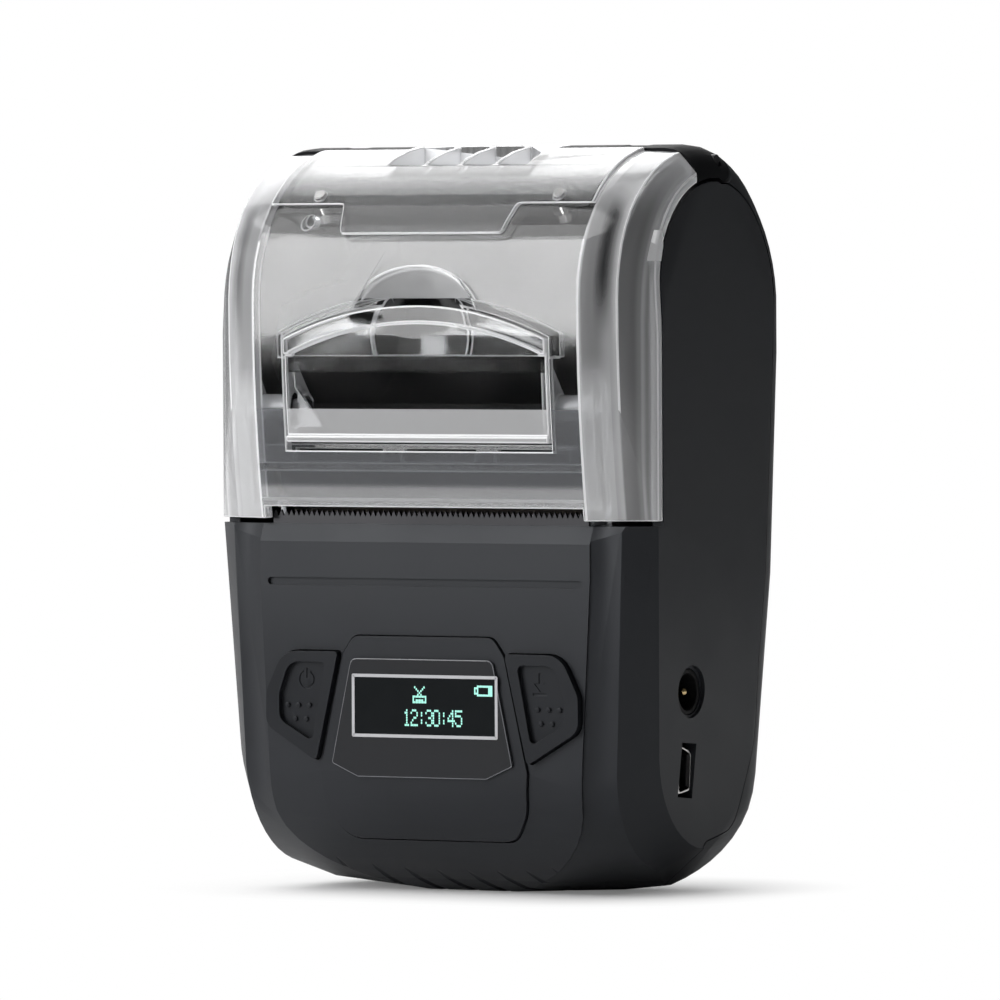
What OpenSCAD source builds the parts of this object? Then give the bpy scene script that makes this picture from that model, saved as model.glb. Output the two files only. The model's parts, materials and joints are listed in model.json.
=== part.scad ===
// Portable receipt printer: a pocket thermal printer with a clear paper cover
// Upright, front towards -Y, +Z up, origin on the floor under the middle of its box, in millimetres

/* [Body] */
// Width of the casing at the cover
body_w = 80; // [76:1:84]
// Depth of the casing from front face to back face
body_d = 48; // [46:1:52]
// Overall height to the crown of the cover
height = 118; // [114:1:123]
// Wall of the front and back shells
wall = 2; // [1.6:0.1:2.4]
// Height where the casing ends and the clear cover begins
seam_z = 59.1; // [57:0.5:61]
// How much narrower each side gets towards the bottom
side_taper = 2.6; // [1.5:0.1:3.5]
// How much thinner the casing gets towards the bottom
back_lean = 5.6; // [4:0.1:6]
// Radius that rounds the lower front, seen from the side
toe_r = 20; // [17:1:21]
// Radius that rounds the lower back, seen from the side
heel_r = 20; // [18:1:22]
// Height of the rounded lower corners, seen from the front
corner_h = 15; // [12:0.5:18]
// Width of the rounded lower corners, seen from the front
corner_w = 37; // [30:1:37]
// Height over which the heel draws in towards the bottom
heel_h = 16; // [12:0.5:18]
// How far the heel draws in over that height
heel_w = 12.6; // [10:0.2:14]
// Radius that rounds the lower end of each flat side face
face_r = 17; // [15:0.5:18]
// Depth of the flat ground off the bottom end
foot_cut = 0.6; // [0.4:0.1:1]
// Width of the two bevelled bands beside the front panel
band_w = 9.7; // [8.4:0.1:10.4]
// Width of the steeper band, next to the side face
bevel_w = 4.3; // [3.5:0.1:5]
// Depth of the crease between the two bands
band_d = 0.8; // [0.6:0.1:1.2]
// Depth of the crease where the side face begins
face_d = 4.7; // [4:0.1:5.5]
// Step between the front panel and the band
panel_step = 0.4; // [0.3:0.1:0.8]
// Radius of the upright back corners
back_fillet = 7.8; // [6:0.2:9]
// How much sharper the corners get over the top
crown_trim = 1.8; // [1:0.2:3]
// How much narrower each side gets over the top
crown_taper = 0.6; // [0:0.1:0.8]

/* [Cover] */
// How far the cover bulges out in front of the casing
cover_bulge = 2.7; // [1.5:0.1:3]
// How far the cover stands out past each side of the casing
cover_overhang = 0.1; // [0.1:0.1:0.8]
// Thickness of the clear cover
cover_wall = 1.8; // [1.5:0.1:2.2]
// Depth, from the front face, where the clear part ends and the black bar begins
cover_end_d = 18.8; // [17:0.1:20]
// Clear width of the paper slot at the tear blade
slot_w = 58.4; // [58:0.1:59]
// Height of the paper slot over the seam
slot_h = 1.9; // [1.5:0.1:2.5]
// Height of the raised edge on the crown, at the sides
crown_edge_z = 108.8; // [107:0.1:110]
// Height of the raised edge on the crown, in the middle
crown_drop_z = 104.1; // [103:0.1:106]
// Half of the width of the crown edge's middle part
crown_drop_x = 14.8; // [12:0.1:17]
// How far the crown stands up over the cover
crown_step = 0.6; // [0.4:0.1:0.8]
// Radius of the finger scoop's rim
scoop_r = 12.2; // [11.4:0.1:12.6]
// Depth of the finger scoop
scoop_depth = 4.4; // [3.6:0.1:4.6]
// Height of the middle of the finger scoop
scoop_z = 87.5; // [87:0.1:88]
// Depth of the shallow dish in the lever's flap
dish_depth = 0.7; // [0.4:0.1:0.8]
// Width of the grip pocket at the top
grip_w = 26; // [22:1:28]
// Distance of the grip pocket's floor under the crown
grip_drop = 3.2; // [2.6:0.1:3.4]

/* [Hinge] */
// Depth of the hinge axis from the front face
hinge_d = 26.8; // [26:0.1:28]
// Distance of the hinge axis under the crown
hinge_drop = 2.7; // [2.5:0.1:3.1]
// Radius of the hinge barrel
barrel_r = 3.1; // [2.8:0.1:3.2]
// Radius of the hinge pin
pin_r = 1; // [0.8:0.1:1.2]
// Gap round the barrel for the cover's swing
swing_gap = 0.7; // [0.6:0.05:0.8]

/* [Release lever] */
// Width of the lever's flap
lever_w = 48.2; // [46:0.1:50]
// Height of the lower edge of the flap
lever_low_z = 71.2; // [70.8:0.1:72]
// Height of the flap's upper corners
lever_side_z = 87.6; // [86:0.1:89]
// Height of the flap's arched top
lever_top_z = 92.8; // [91:0.1:94]
// How far the flap stands out in front of the cover
lever_proud = 0.5; // [0.3:0.1:0.8]
// Thickness of the flap
lever_t = 1.6; // [1.4:0.1:2]
// Depth of the lever's axis from the front face
lever_axis_d = 2.6; // [2.2:0.1:3]
// Height of the lever's axis
lever_axis_z = 76.7; // [76:0.1:77]
// Radius of the lever's bosses
boss_r = 2.1; // [1.8:0.1:2.2]

/* [Print mechanism] */
// Depth of the platen axis from the front face
platen_d = 8.8; // [8.6:0.1:9.2]
// Height of the platen axis
platen_z = 66.2; // [65.8:0.1:66.6]
// Radius of the rubber roller
platen_r = 4.4; // [4.2:0.1:4.5]
// Length of the rubber roller
platen_len = 57.6; // [57:0.1:58]
// Radius of the platen shaft
shaft_r = 2; // [1.8:0.1:2.2]
// Module of the gears
gear_m = 0.5; // [0.5:0.1:0.5]
// Teeth on the platen gear
platen_teeth = 16; // [16:1:16]
// Teeth on the idler gear
idler_teeth = 24; // [24:1:24]
// Teeth on the motor pinion
pinion_teeth = 10; // [10:1:10]
// Face width of the gears
gear_t = 2; // [1.6:0.1:2.2]
// Radius of the stepper motor
motor_r = 7.2; // [6.8:0.1:7.2]
// Length of the stepper motor
motor_len = 12; // [10:0.5:13]
// Pitch of the tear blade's teeth
tooth_pitch = 0.95; // [0.9:0.05:1.2]
// Height of the tear blade's teeth
tooth_h = 1; // [0.8:0.1:1.2]
// Outer radius of the paper trough
cradle_r = 21.6; // [21:0.1:21.7]
// Thickness of the paper trough
cradle_t = 1.2; // [1:0.1:1.4]

/* [Front panel] */
// Height of the middle of the long groove
groove_z = 49.2; // [48:0.1:50]
// Height of the long groove
groove_h = 1.2; // [1:0.1:1.5]
// Half of the length of the long groove
groove_x = 28.9; // [26:0.1:29.2]
// Height of the island's top edge
island_top = 40.9; // [40:0.1:42]
// Height of the island's bottom edge
island_low = 8.4; // [8:0.1:9]
// Gap round the island and the keys
key_gap = 0.25; // [0.2:0.05:0.35]
// How far the keys stand out of the panel
key_proud = 1.1; // [0.8:0.1:1.3]
// Travel of the keys
key_travel = 0.6; // [0.4:0.1:0.8]
// Half of the width of the printed frame round the display
frame_x = 13.2; // [12.8:0.1:13.4]
// Height of the top of the printed frame
frame_top = 34.4; // [34:0.1:34.8]
// Height of the bottom of the printed frame
frame_low = 24.8; // [24.4:0.1:25.2]
// Thickness of the lens label
label_t = 0.5; // [0.4:0.1:0.6]

/* [Side ports] */
// Height of the charging jack
jack_z = 32.1; // [31:0.1:33]
// Radius of the dish round the jack
dish_r = 4.15; // [4:0.05:4.4]
// Radius of the jack's opening
jack_r = 2.9; // [2.7:0.05:3]
// Radius of the jack's centre pin
jack_pin_r = 0.65; // [0.5:0.05:0.8]
// Height of the USB socket
usb_z = 19.6; // [19:0.1:20]
// Height of the USB shell
usb_h = 7.7; // [7.7:0.1:7.7]
// Width of the USB shell
usb_w = 3.9; // [3.9:0.1:3.9]
// Lean of the circuit board and its sockets, in degrees
board_lean = 5; // [3:0.5:6]
// Depth of the front of the main circuit board at the USB socket
board_d = 18.1; // [17.8:0.1:18.4]

/* [Battery] */
// Width of the battery pack
pack_w = 52; // [48:1:54]
// Height of the battery pack
pack_h = 32.4; // [30:0.2:32.4]
// Thickness of the battery pack
pack_t = 14; // [12:0.5:14.5]
// Height of the pack's lower end
pack_z = 13.2; // [13:0.1:14]
// Depth of the pack's front face
pack_d = 25.4; // [25.2:0.1:25.8]

/* [Hidden] */

far = 200;
gap = 0.3;
half_w = body_w / 2;
front_y = (cover_bulge + lever_proud - body_d) / 2;
shell_top = height - 0.1;
top_r = body_d / 2;
crown_z = shell_top - top_r;
lean_z = crown_z - 9;
taper_z = 50;
seam_gap = 0.15;
cover_end_x = slot_w / 2 + 0.4;

// Places, in a frame whose Y is the depth behind the front face
module at(x, d, z) translate([x, front_y + d, z]) children();
// A side profile drawn in depth and height, extruded from x0 to x1
module along_x(x0, x1) translate([x0, front_y, 0]) rotate([90, 0, 90]) linear_extrude(x1 - x0) children();
// A front outline drawn in x and height, extruded from depth d0 to depth d1
module along_y(d0, d1) translate([0, front_y + d1, 0]) rotate([90, 0, 0]) linear_extrude(d1 - d0) children();
module both_sides() { children(); mirror([1, 0, 0]) children(); }
module x_rod(r, x0, x1, p, f = 48) at(x0, p.x, p.y) rotate([0, 90, 0]) cylinder(h = x1 - x0, r = r, $fn = f);
module y_rod(r, d0, d1, x, z, f = 40) at(x, d0, z) rotate([-90, 0, 0]) cylinder(h = d1 - d0, r = r, $fn = f);
module block(x0, x1, d0, d1, z0, z1) at(x0, d0, z0) cube([x1 - x0, d1 - d0, z1 - z0]);
module pane(x0, x1, y0, y1) translate([x0, y0]) square([x1 - x0, y1 - y0]);

// Corner points of an outline, each turned into an arc of its own radius r[i]
function unit(v) = v / norm(v);
function corner_arc(p, a, b, r) =
    let (u = unit(a - p), v = unit(b - p), h = acos(max(-1, min(1, u * v))) / 2, t = r / tan(h),
         c = p + unit(u + v) * r / sin(h), s = p + u * t - c, e = p + v * t - c, n = 4,
         turn = atan2(s.x * e.y - s.y * e.x, s * e))
    r <= 0 ? [p] : [for (i = [0:n]) let (w = turn * i / n)
        c + [s.x * cos(w) - s.y * sin(w), s.x * sin(w) + s.y * cos(w)]];
function rounded(p, r) = [for (i = [0:len(p) - 1])
    each corner_arc(p[i], p[(i + len(p) - 1) % len(p)], p[(i + 1) % len(p)], r[i])];
// The same outline with its own mirror image joined on, for shapes symmetric about x = 0
function mirrored(p) = concat(p, [for (i = [len(p) - 1:-1:0]) [-p[i].x, p[i].y]]);

// The casing's outline, as functions of height
function side_at(z) = half_w - (z < taper_z ? side_taper * (1 - z / taper_z) : 0);
function round_off(z, r) = z >= r ? 0 : r - sqrt(pow(r, 2) - pow(r - z, 2));
// Share of a quarter ellipse's width that is left off at height z, for an ellipse h high
function ease(z, h) = round_off(min(z, h), h) / h;
// Edge of the front panel
function panel_x(z) = max(1, side_at(z) - band_w - (corner_w - band_w) * ease(z + foot_cut, corner_h));
function toe_at(z) = round_off(z + foot_cut, toe_r);
function back_line(z) = body_d - (z < lean_z ? back_lean * (1 - z / lean_z) : 0);
function back_at(z) = back_line(z) - round_off(z + foot_cut, heel_r);

low_steps = concat([for (i = [0:13]) 21.4 * pow(i / 13, 2)], [taper_z, lean_z]);
toe_turn = [180:7.5:270];

// The solid wrapped round a list of points
module wrap(points) hull() polyhedron(points, [for (i = [0:3:len(points) - 3]) [i, i + 1, i + 2]]);
function sided(p) = [for (q = p) each [[q.x, front_y + q.y, q.z], [-q.x, front_y + q.y, q.z], [q.x, front_y + q.y, q.z]]];

// One level of the casing, k inside its outer face: the panel's edge, then the rounded back corner
function level(z, k, zz) = let (w = side_at(z) - k - heel_w * ease(z + foot_cut, heel_h), e = back_at(z) - k,
    r = max(0.4, back_fillet - k))
    concat([[max(1, panel_x(z) - k * 0.3), toe_at(z) + k + panel_step, zz]],
        [for (a = z < 1 ? [90] : [0:15:90]) [w - r + r * cos(a), e - r + r * sin(a), zz]]);
// The crease round the side face, and the crease between the two bands
function face_edge(k) = concat([for (a = toe_turn) face_point([24, toe_r + 4] + (face_r - k * 0.5) * [cos(a), sin(a)], k)],
    [for (z = [seam_z, lean_z]) face_point([face_d + k * 0.5, z], k)]);
function face_point(p, k) = [side_at(p.y) - k, p.x, max(p.y, k)];
function band_edge(k) = concat([for (a = toe_turn) let (r = toe_r - k - 1.6 - 2.8 * (a - 180) / 90)
    band_point([toe_r + r * cos(a), toe_r - foot_cut + r * sin(a)], k)],
    [for (z = [seam_z, lean_z]) band_point([band_d + k, z], k)]);
function band_point(p, k) = [side_at(p.y) - bevel_w - k * 0.65, p.x, max(p.y, k)];
// One rib of the casing's rounded top, k inside its outer face
function crown_rib(a, k) = let (w = half_w - k - crown_taper * min(1, 1.6 * sin(a)), r = back_fillet - k - crown_trim * pow(sin(a), 6))
    [for (t = [0:15:90]) [w - r + r * cos(t), top_r + (top_r - k - r + r * sin(t)) * cos(a),
                        crown_z + (top_r - k - r + r * sin(t)) * sin(a)]];
module casing(k = 0) wrap(sided(concat(face_edge(k), band_edge(k),
    [for (z = low_steps) each level(z, k, max(z, k))], [for (a = [0:7.5:180]) each crown_rib(a, k)])));

// The seam between front and back shells: everything in front of it, in depth and height
module front_side(k = 0) polygon(concat([[-far, -far]],
    rounded([[22 + k, -far], [22 + k, 8.2 - k], [31.5 + k, 10 - k], [37.3 + k, 24], [37.3 + k, 36]], [0, 1.5, 4, 14, 0]),
    [for (a = [0:7.5:82.5]) [top_r + (cheek_r + 0.2 + k) * cos(a), cheek_z + (cheek_r + 0.2 + k) * sin(a)]],
    [[hinge_d, far], [-far, far]]));

// Front view outline of the raised front panel
module panel_outline() polygon(mirrored([for (z = concat([for (s = low_steps) if (s < seam_z) s], [seam_z]))
    [panel_x(z), z]]));
// Side profile of the lower casing, k inside the outer face
module low_profile(k = 0) polygon(concat([[40, k], [40, far], [k, far]],
    [for (a = [0:7.5:90]) [toe_r - (toe_r - k) * cos(a), toe_r - foot_cut - (toe_r - k) * sin(a)]]));
// A layer that follows the lower front, from k0 to k1 behind its surface
module low_layer(x0, x1, k0, k1) along_x(x0, x1) difference() {
    low_profile(k0);
    low_profile(k1);
}

// The cover's side profile, k inside its outer face
cover_deep = top_r + cover_bulge;
cover_rise = height - crown_step - crown_z;
function cover_front(z) = -cover_bulge * (1 - pow((crown_z - z) / (crown_z - seam_z), 2));
function cover_line(k) = concat(
    [for (i = [0:5]) let (z = seam_z + (crown_z - seam_z) * i / 6) [cover_front(z) + k, z]],
    [for (a = [180:-7.5:82.5]) [top_r + (cover_deep - k) * cos(a), crown_z + (cover_rise - k) * sin(a)]]);
module cover_profile(k = 0) polygon(concat(cover_line(k), [[60, crown_z], [60, seam_z]]));
module cover_layer(x0, x1, k0, k1) along_x(x0, x1) difference() {
    cover_profile(k0);
    cover_profile(k1);
}
// The cover with its bevelled bands, k inside its outer face; p on the cover's line, q on its rim
rim_r = top_r - 4.6;
rim_end_r = rim_r - 1.4;
rim_z = crown_z + 0.7;
// Over the top the ridge between the two bands rises to the cover's own line
function cover_rib(p, q, c, k) = let (w = half_w + cover_overhang - k, n = unit(c - p),
    rise = max(0, p.y - crown_z - 5) / 18.6, sink = 2.2 - 2 * rise)
    [[w - band_w - 0.6 + k * 0.7, p.x, p.y], [w - 4.4 + k * 0.3 + 0.3 * pow(rise, 2), p.x + n.x * sink, p.y + n.y * sink],
     [w - (crown_taper + 0.4) * min(1, max(0, (p.y - 88) / 16)), q.x, q.y], [w - 0.4, c.x, c.y]];
function rim_at(a, k) = let (r = rim_r - k * 0.5) [top_r + r * cos(a), rim_z + r * sin(a)];
module cover_mass(k = 0) wrap(sided(concat(
    [for (i = [0:5]) let (p = cover_line(k)[i]) each cover_rib(p, [top_r - rim_r + k * 0.5, p.y], [top_r, p.y], k)],
    [for (i = [0:13]) each cover_rib(cover_line(k)[i + 6], rim_at(180 - 7.5 * i, k), [top_r, crown_z], k)])));

// A straight-sided stadium round a centre at height z, r out from it, open downwards
module stadium(r, z) union() {
    translate([top_r, z]) circle(r = r, $fn = 120);
    pane(top_r - r, top_r + r, -far, z);
}
cheek_r = rim_end_r - gap;
cheek_z = rim_z - gap;
hinge_axis = [hinge_d, height - hinge_drop];

module long_slot(x, z, h, d0, d1) along_y(d0, d1) union() {
    pane(-x + h / 2, x - h / 2, z - h / 2, z + h / 2);
    for (s = [-1, 1]) translate([s * (x - h / 2), z]) circle(r = h / 2, $fn = 24);
}

// Outlines of the island and of the keys, seen from the front; g pulls the edge in
function pulled(p, c, g) = [for (q = p) q - unit(q - c) * g];
island_half = [[12.9, island_top], [15, 38], [19.2, 19.5], [18.6, 13], [15.4, island_low]];
module island_outline(g = 0) polygon(rounded(mirrored(pulled(island_half, [0, 26], g)), [2, 3, 2, 6, 4, 4, 6, 2, 3, 2]));
key_corners = [[15.1, 38.4], [25.6, 38.4], [28.9, 31.8], [28.9, 26.2], [19.3, 20.6]];
pad_corners = [[17.6, 36.5], [24.4, 36.5], [26.2, 31.5], [26.2, 27.3], [20.1, 23.9]];
key_mid = [22.6, 31];
module key_outline(g = 0) polygon(rounded(pulled(key_corners, key_mid, g), [0.6, 4, 3, 2.5, 0.6]));
label_half = [[13, 37.2], [16.6, 20.6], [11.8, 18.5]];
module label_outline() polygon(rounded(mirrored(label_half), [1.2, 0.4, 0.4, 0.4, 0.4, 1.2]));

// Grooves for the fingers round the lower front, each a slanted piece of a ring that dips into the
// toe and fades out again; the middle ones start lowest
groove_fade = 6.4;
module grip_grooves() for (i = [0:7]) at(-18.7 + i * 5.65, toe_r, toe_r - foot_cut)
    rotate(a = 15 + i * 1.2, v = [0, -cos(58), -sin(58)]) rotate([0, 90, 0]) rotate([0, 0, -10 - 0.45 * pow(i - 3.9, 2)])
        translate([-groove_fade, 0, 0]) rotate([0, 0, -24])
            rotate_extrude(angle = 48, $fn = 120) translate([toe_r + 0.1 + groove_fade, 0]) circle(r = 0.7, $fn = 16);

// The main circuit board's own frame: X to the right, Y to its back, Z up it
module on_board() at(0, board_d, usb_z) rotate([-board_lean, 0, 0]) children();
jack_d = board_d - 1.7;
jack_x = side_at(jack_z);
usb_x = side_at(usb_z);
board_x = half_w - 5.4;
board_holes = [[board_x - 1.6, 22.5], [board_x - 6.6, -6.6]];

case_screws_at = [[half_w - 8, 16.5], [half_w - 5.8, 72.6]];
frame_hole_x = platen_len / 2 + 5.6;
frame_holes = [[frame_hole_x, 9.5], [frame_hole_x, 22], [-frame_hole_x, 9.5]];
key_board_holes = [[17.4, 43.2], [22.4, 16.8]];
blade_x = slot_w / 2 - 0.2;
blade_d = 2;
blade_t = 0.5;
blade_top = 60.4;
wall_top = seam_z - 0.8;
deck_z = seam_z - 3.1;

module front_shell() color("#26282b") difference() {
    union() {
        difference() {
            union() {
                intersection() {
                    casing();
                    along_x(-far, far) intersection() {
                        front_side();
                        pane(-far, far, -far, wall_top);
                    }
                }
                intersection() {
                    along_y(-1, 24) panel_outline();
                    along_x(-far, far) intersection() {
                        low_profile();
                        pane(-1, 21.9, 0, wall_top);
                    }
                }
            }
            casing(wall);
        }
        intersection() {
            casing();
            both_sides() along_x(half_w - wall, half_w) intersection() {
                stadium(cheek_r, cheek_z);
                front_side();
                pane(0, far, wall_top - 3, far);
            }
        }
        intersection() {
            casing(0.5);
            union() {
                both_sides() front_posts();
                at_frame_holes() translate([-2.4, -2.4, deck_z - 3]) cube([12, 4.8, 3]);
            }
        }
    }
    along_x(-far, far) polygon([[-1, 55.5], [0, 55.5], [1.2, wall_top], [1.2, far], [-1, far]]);
    block(-blade_x, blade_x, blade_d, blade_d + blade_t, 54, far);
    long_slot(groove_x, groove_z, groove_h, -1, 0.5);
    along_y(-5, wall + 12) {
        island_outline();
        key_outline();
        mirror([1, 0]) key_outline();
    }
    grip_grooves();
    x_rod(3.7, half_w - 6, far, [jack_d, jack_z]);
    x_rod(dish_r, jack_x - 0.6, far, [jack_d, jack_z]);
    on_board() translate([usb_x - 4, -usb_w - 0.45, -usb_h / 2 - 0.45]) cube([20, usb_w + 0.6, usb_h + 0.9]);
    both_sides() {
        for (p = case_screws_at) y_rod(1.15, 21, 40, p.x, p.y);
        for (p = key_board_holes) y_rod(0.85, 4.5, 12, p.x, p.y);
        for (p = board_holes) on_board() translate([p.x, 0.5, p.y]) rotate([90, 0, 0]) cylinder(h = 5, r = 0.95, $fn = 32);
    }
    at_frame_holes() translate([0, 0, deck_z - 8]) cylinder(h = 20, r = 0.95, $fn = 32);
    x_rod(barrel_r + swing_gap, -far, far, hinge_axis, 64);
}
module at_frame_holes() for (p = frame_holes) mirror([p.x < 0 ? 1 : 0, 0, 0]) at(abs(p.x), p.y, 0) children();
// Screw posts and ledges inside the front shell, on its right side
module front_posts() {
    for (p = case_screws_at) {
        y_rod(3, 21.5, 29.9, p.x, p.y);
        block(p.x, half_w, 21.5, 29.9, p.y - 1, p.y + 1);
    }
    for (p = key_board_holes) y_rod(2, wall, 8.6, p.x, p.y);
    for (p = board_holes) on_board() translate([p.x - 2.2, -6, p.y - 2.2]) cube([half_w + 2.2 - p.x, 6, 4.4]);
}

bay_x = pack_w / 2 + 0.8;
bay_low = pack_z - 0.4;
bay_high = pack_z + pack_h + 0.4;
bay_floor = pack_d - 0.2;
door_axis = [back_at(bay_low - 0.3) - 0.8, bay_low - 0.3];
module back_shell() color("#232528") difference() {
    union() {
        difference() {
            intersection() {
                casing();
                along_x(-far, far) difference() {
                    pane(0, far, -1, far);
                    front_side(seam_gap);
                }
            }
            casing(wall);
        }
        intersection() {
            casing(0.5);
            union() {
                block(-bay_x - 1.4, bay_x + 1.4, bay_floor - 1.4, far, bay_low - 1.4, bay_high + 1.4);
                both_sides() for (p = case_screws_at) y_rod(3.2, 30, far, p.x, p.y);
                both_sides() hinge_lug();
            }
        }
    }
    block(-bay_x, bay_x, bay_floor, far, bay_low, bay_high);
    difference() {
        x_rod(barrel_r + swing_gap, -far, far, hinge_axis, 64);
        both_sides() hinge_lug();
    }
    both_sides() x_rod(pin_r + 0.05, 20, 32, hinge_axis);
    x_rod(1.2, -bay_x, bay_x, door_axis);
    both_sides() for (p = case_screws_at) {
        y_rod(1.35, 28, far, p.x, p.y);
        y_rod(2.9, 37.5, far, p.x, p.y);
    }
}

// Knuckle of the back shell in a notch of the hinge bar, on the right
lug_x = 24;
lug_w = 4;
module hinge_lug() along_x(lug_x, lug_x + lug_w) union() {
    translate(hinge_axis) circle(r = barrel_r, $fn = 64);
    pane(hinge_d, hinge_d + 7, height - hinge_drop - barrel_r, height - hinge_drop + 1.5);
}

// The cover's crown, seen from the front, g larger all round
module crown_outline(g = 0) polygon(rounded(mirrored([[cover_end_x, height + 9], [cover_end_x + g, crown_edge_z - g],
    [crown_drop_x + 1.2 + g, crown_edge_z - g], [crown_drop_x + g, crown_drop_z - g]]),
    [0, 0, 0.8, 0.8, 0.8, 0.8, 0, 0]));
// The opening for the lever and the pocket behind its arched top
window_x = lever_w / 2 + 0.3;
window_z = [lever_low_z - 1.3, lever_side_z - 2.8];
arch_r = (pow(lever_w / 2, 2) + pow(lever_top_z - lever_side_z, 2)) / (2 * (lever_top_z - lever_side_z));
module arch(g, low) intersection() {
    translate([0, lever_top_z + g - arch_r]) circle(r = arch_r, $fn = 240);
    pane(-lever_w / 2 - g, lever_w / 2 + g, low, far);
}
dish_ball = (pow(11.3, 2) + pow(dish_depth, 2)) / (2 * dish_depth);
scoop_ball = (pow(scoop_r, 2) + pow(scoop_depth, 2)) / (2 * scoop_depth);
scoop_d = cover_front(scoop_z) - scoop_ball + scoop_depth;
arm_x = platen_len / 2 + 2.1;
arm_t = 1.1;
tongue_d = cover_end_d + 4.2;
platen_axis = [platen_d, platen_z];
lever_axis = [lever_axis_d, lever_axis_z];

module clear_cover() color([0.86, 0.88, 0.9, 0.35]) difference() {
    union() {
        intersection() {
            difference() {
                cover_mass();
                cover_mass(cover_wall);
            }
            along_x(-far, far) difference() {
                pane(-far, cover_end_d, seam_z, far);
                stadium(rim_end_r, rim_z);
            }
        }
        intersection() {
            cover_layer(-cover_end_x, cover_end_x, -crown_step, cover_wall);
            along_y(-10, cover_end_d) crown_outline();
        }
        along_x(-grip_w / 2 - 0.8, grip_w / 2 + 0.8) intersection() {
            cover_profile(-crown_step);
            pane(8, tongue_d, grip_z - 0.8, far);
        }
        intersection() {
            cover_layer(-window_x - 1.4, window_x + 1.4, 0.3, 3.6);
            along_y(-10, 12) arch(1.7, window_z[1] - 0.1);
        }
        intersection() {
            at(0, scoop_d, scoop_z) sphere(r = scoop_ball + 1.4, $fn = 96);
            cover_layer(-scoop_r - 1.3, scoop_r + 1.3, 0.3, 6);
            y_rod(scoop_r + 1, -10, 12, 0, scoop_z, 96);
            block(-far, far, -10, 12, window_z[1], far);
        }
        both_sides() along_x(arm_x, arm_x + arm_t) cover_arm();
        intersection() {
            y_rod(1.1, 0, 12, -22.4, crown_edge_z - 3.4);
            cover_layer(-30, 30, cover_wall - 0.6, cover_wall + 1.6);
        }
        along_x(-arm_x - 0.1, arm_x + 0.1) {
            pane(0.6, 3.2, seam_z + slot_h, seam_z + slot_h + 1.3);
            pane(0, 3.9, platen_z + 0.7, platen_z + 1.7);
            pane(2.9, 3.9, platen_z + 0.7, platen_z + 4.7);
        }
    }
    block(-slot_w / 2, slot_w / 2, -10, 0.55, seam_z - 1, seam_z + slot_h);
    block(-slot_w / 2, slot_w / 2, 0.5, 3.3, seam_z - 1, seam_z + slot_h);
    block(-window_x, window_x, -10, 2.6, window_z[0], window_z[1]);
    intersection() {
        along_x(-window_x - 0.1, window_x + 0.1) difference() {
            pane(-9, 12, window_z[1] - 1, far);
            cover_profile(2.2);
        }
        along_y(-10, 12) arch(0.35, window_z[1] - 0.2);
    }
    intersection() {
        at(0, scoop_d, scoop_z) sphere(r = scoop_ball, $fn = 96);
        y_rod(scoop_r, -20, 12, 0, scoop_z, 96);
    }
    grip_recess();
    for (x = [[-25.2, -9.2], [-5.2, 8], [12, 25.2]]) block(x[0], x[1], 2.5, 5, platen_z + 2.1, platen_z + 3.9);
    both_sides() {
        x_rod(1.25, arm_x - 1, arm_x + arm_t + 1, lever_axis);
        x_rod(3.25, arm_x - 1, arm_x + arm_t + 1, platen_axis, 64);
        cover_screw_place() cylinder(h = 3, r = 0.95, $fn = 32);
    }
}
// The arms that carry the platen and the lever
module cover_arm() union() {
    translate(platen_axis) circle(r = 4.6, $fn = 64);
    polygon([[cover_front(82.5) + 1.4, 82.5], [1.6, 82.5], [5.4, 76.4], [platen_d + 4.3, platen_z + 1.6],
        [platen_d, platen_z], [platen_d - 1, platen_z - 4.5], [1, seam_z + 2.5], [1.2, seam_z + 4]]);
}
// The flat-floored pocket for the finger on top, with three fins left standing in it
grip_z = height - grip_drop;
module grip_recess() difference() {
    at(0, 0, grip_z) linear_extrude(20)
        polygon([[-grip_w / 2, 6], [grip_w / 2, 6], [grip_w / 2 - 0.6, tongue_d - 1.6], [-grip_w / 2 + 0.6, tongue_d - 1.6]]);
    for (i = [-1:1]) along_x(i * grip_w / 4 - 0.2, i * grip_w / 4 + 0.7) cover_profile(0.25 - crown_step);
}
// Where the two cover screws go in: through the bar's flange, square to the cover's surface
screw_z = crown_edge_z + 1.6;
screw_turn = asin((screw_z - crown_z) / cover_rise);
screw_p = [top_r - cover_deep * cos(screw_turn), screw_z];
module cover_screw_place() at(22, screw_p.x, screw_p.y)
    rotate([-90 - atan2(sin(screw_turn) / cover_rise, cos(screw_turn) / cover_deep), 0, 0]) translate([0, 0, 0.7]) children();

module hinge_bar() color("#202226") difference() {
    union() {
        intersection() {
            difference() {
                casing();
                casing(3);
            }
            along_x(-far, far) difference() {
                pane(cover_end_d + 0.15, hinge_d, crown_z, far);
                translate([top_r, rim_z]) circle(r = rim_end_r, $fn = 120);
            }
        }
        intersection() {
            casing();
            x_rod(barrel_r, -half_w + 0.4, half_w - 0.4, hinge_axis, 64);
        }
        intersection() {
            cover_layer(-28, 28, cover_wall + 0.03, cover_wall + 1.5);
            block(-far, far, 0, cover_end_d + 0.2, crown_edge_z - 1.2, far);
        }
        intersection() {
            along_x(-28, 28) pane(cover_end_d - 0.8, cover_end_d + 1.8, crown_z + 18, far);
            along_x(-28, 28) cover_profile(cover_wall + 0.03);
        }
    }
    block(-grip_w / 2 - 1, grip_w / 2 + 1, 8, tongue_d + 0.2, grip_z - 1, far);
    both_sides() {
        block(lug_x - gap, lug_x + lug_w + gap, hinge_d - barrel_r - 1.5, far, height - 9, far);
        cover_screw_place() cylinder(h = 6, r = 0.95, $fn = 32);
    }
    x_rod(pin_r + 0.05, -far, far, hinge_axis);
}
module hinge_pin() color("#b8bcc2") x_rod(pin_r, -half_w + 2, half_w - 2, hinge_axis);
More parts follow.
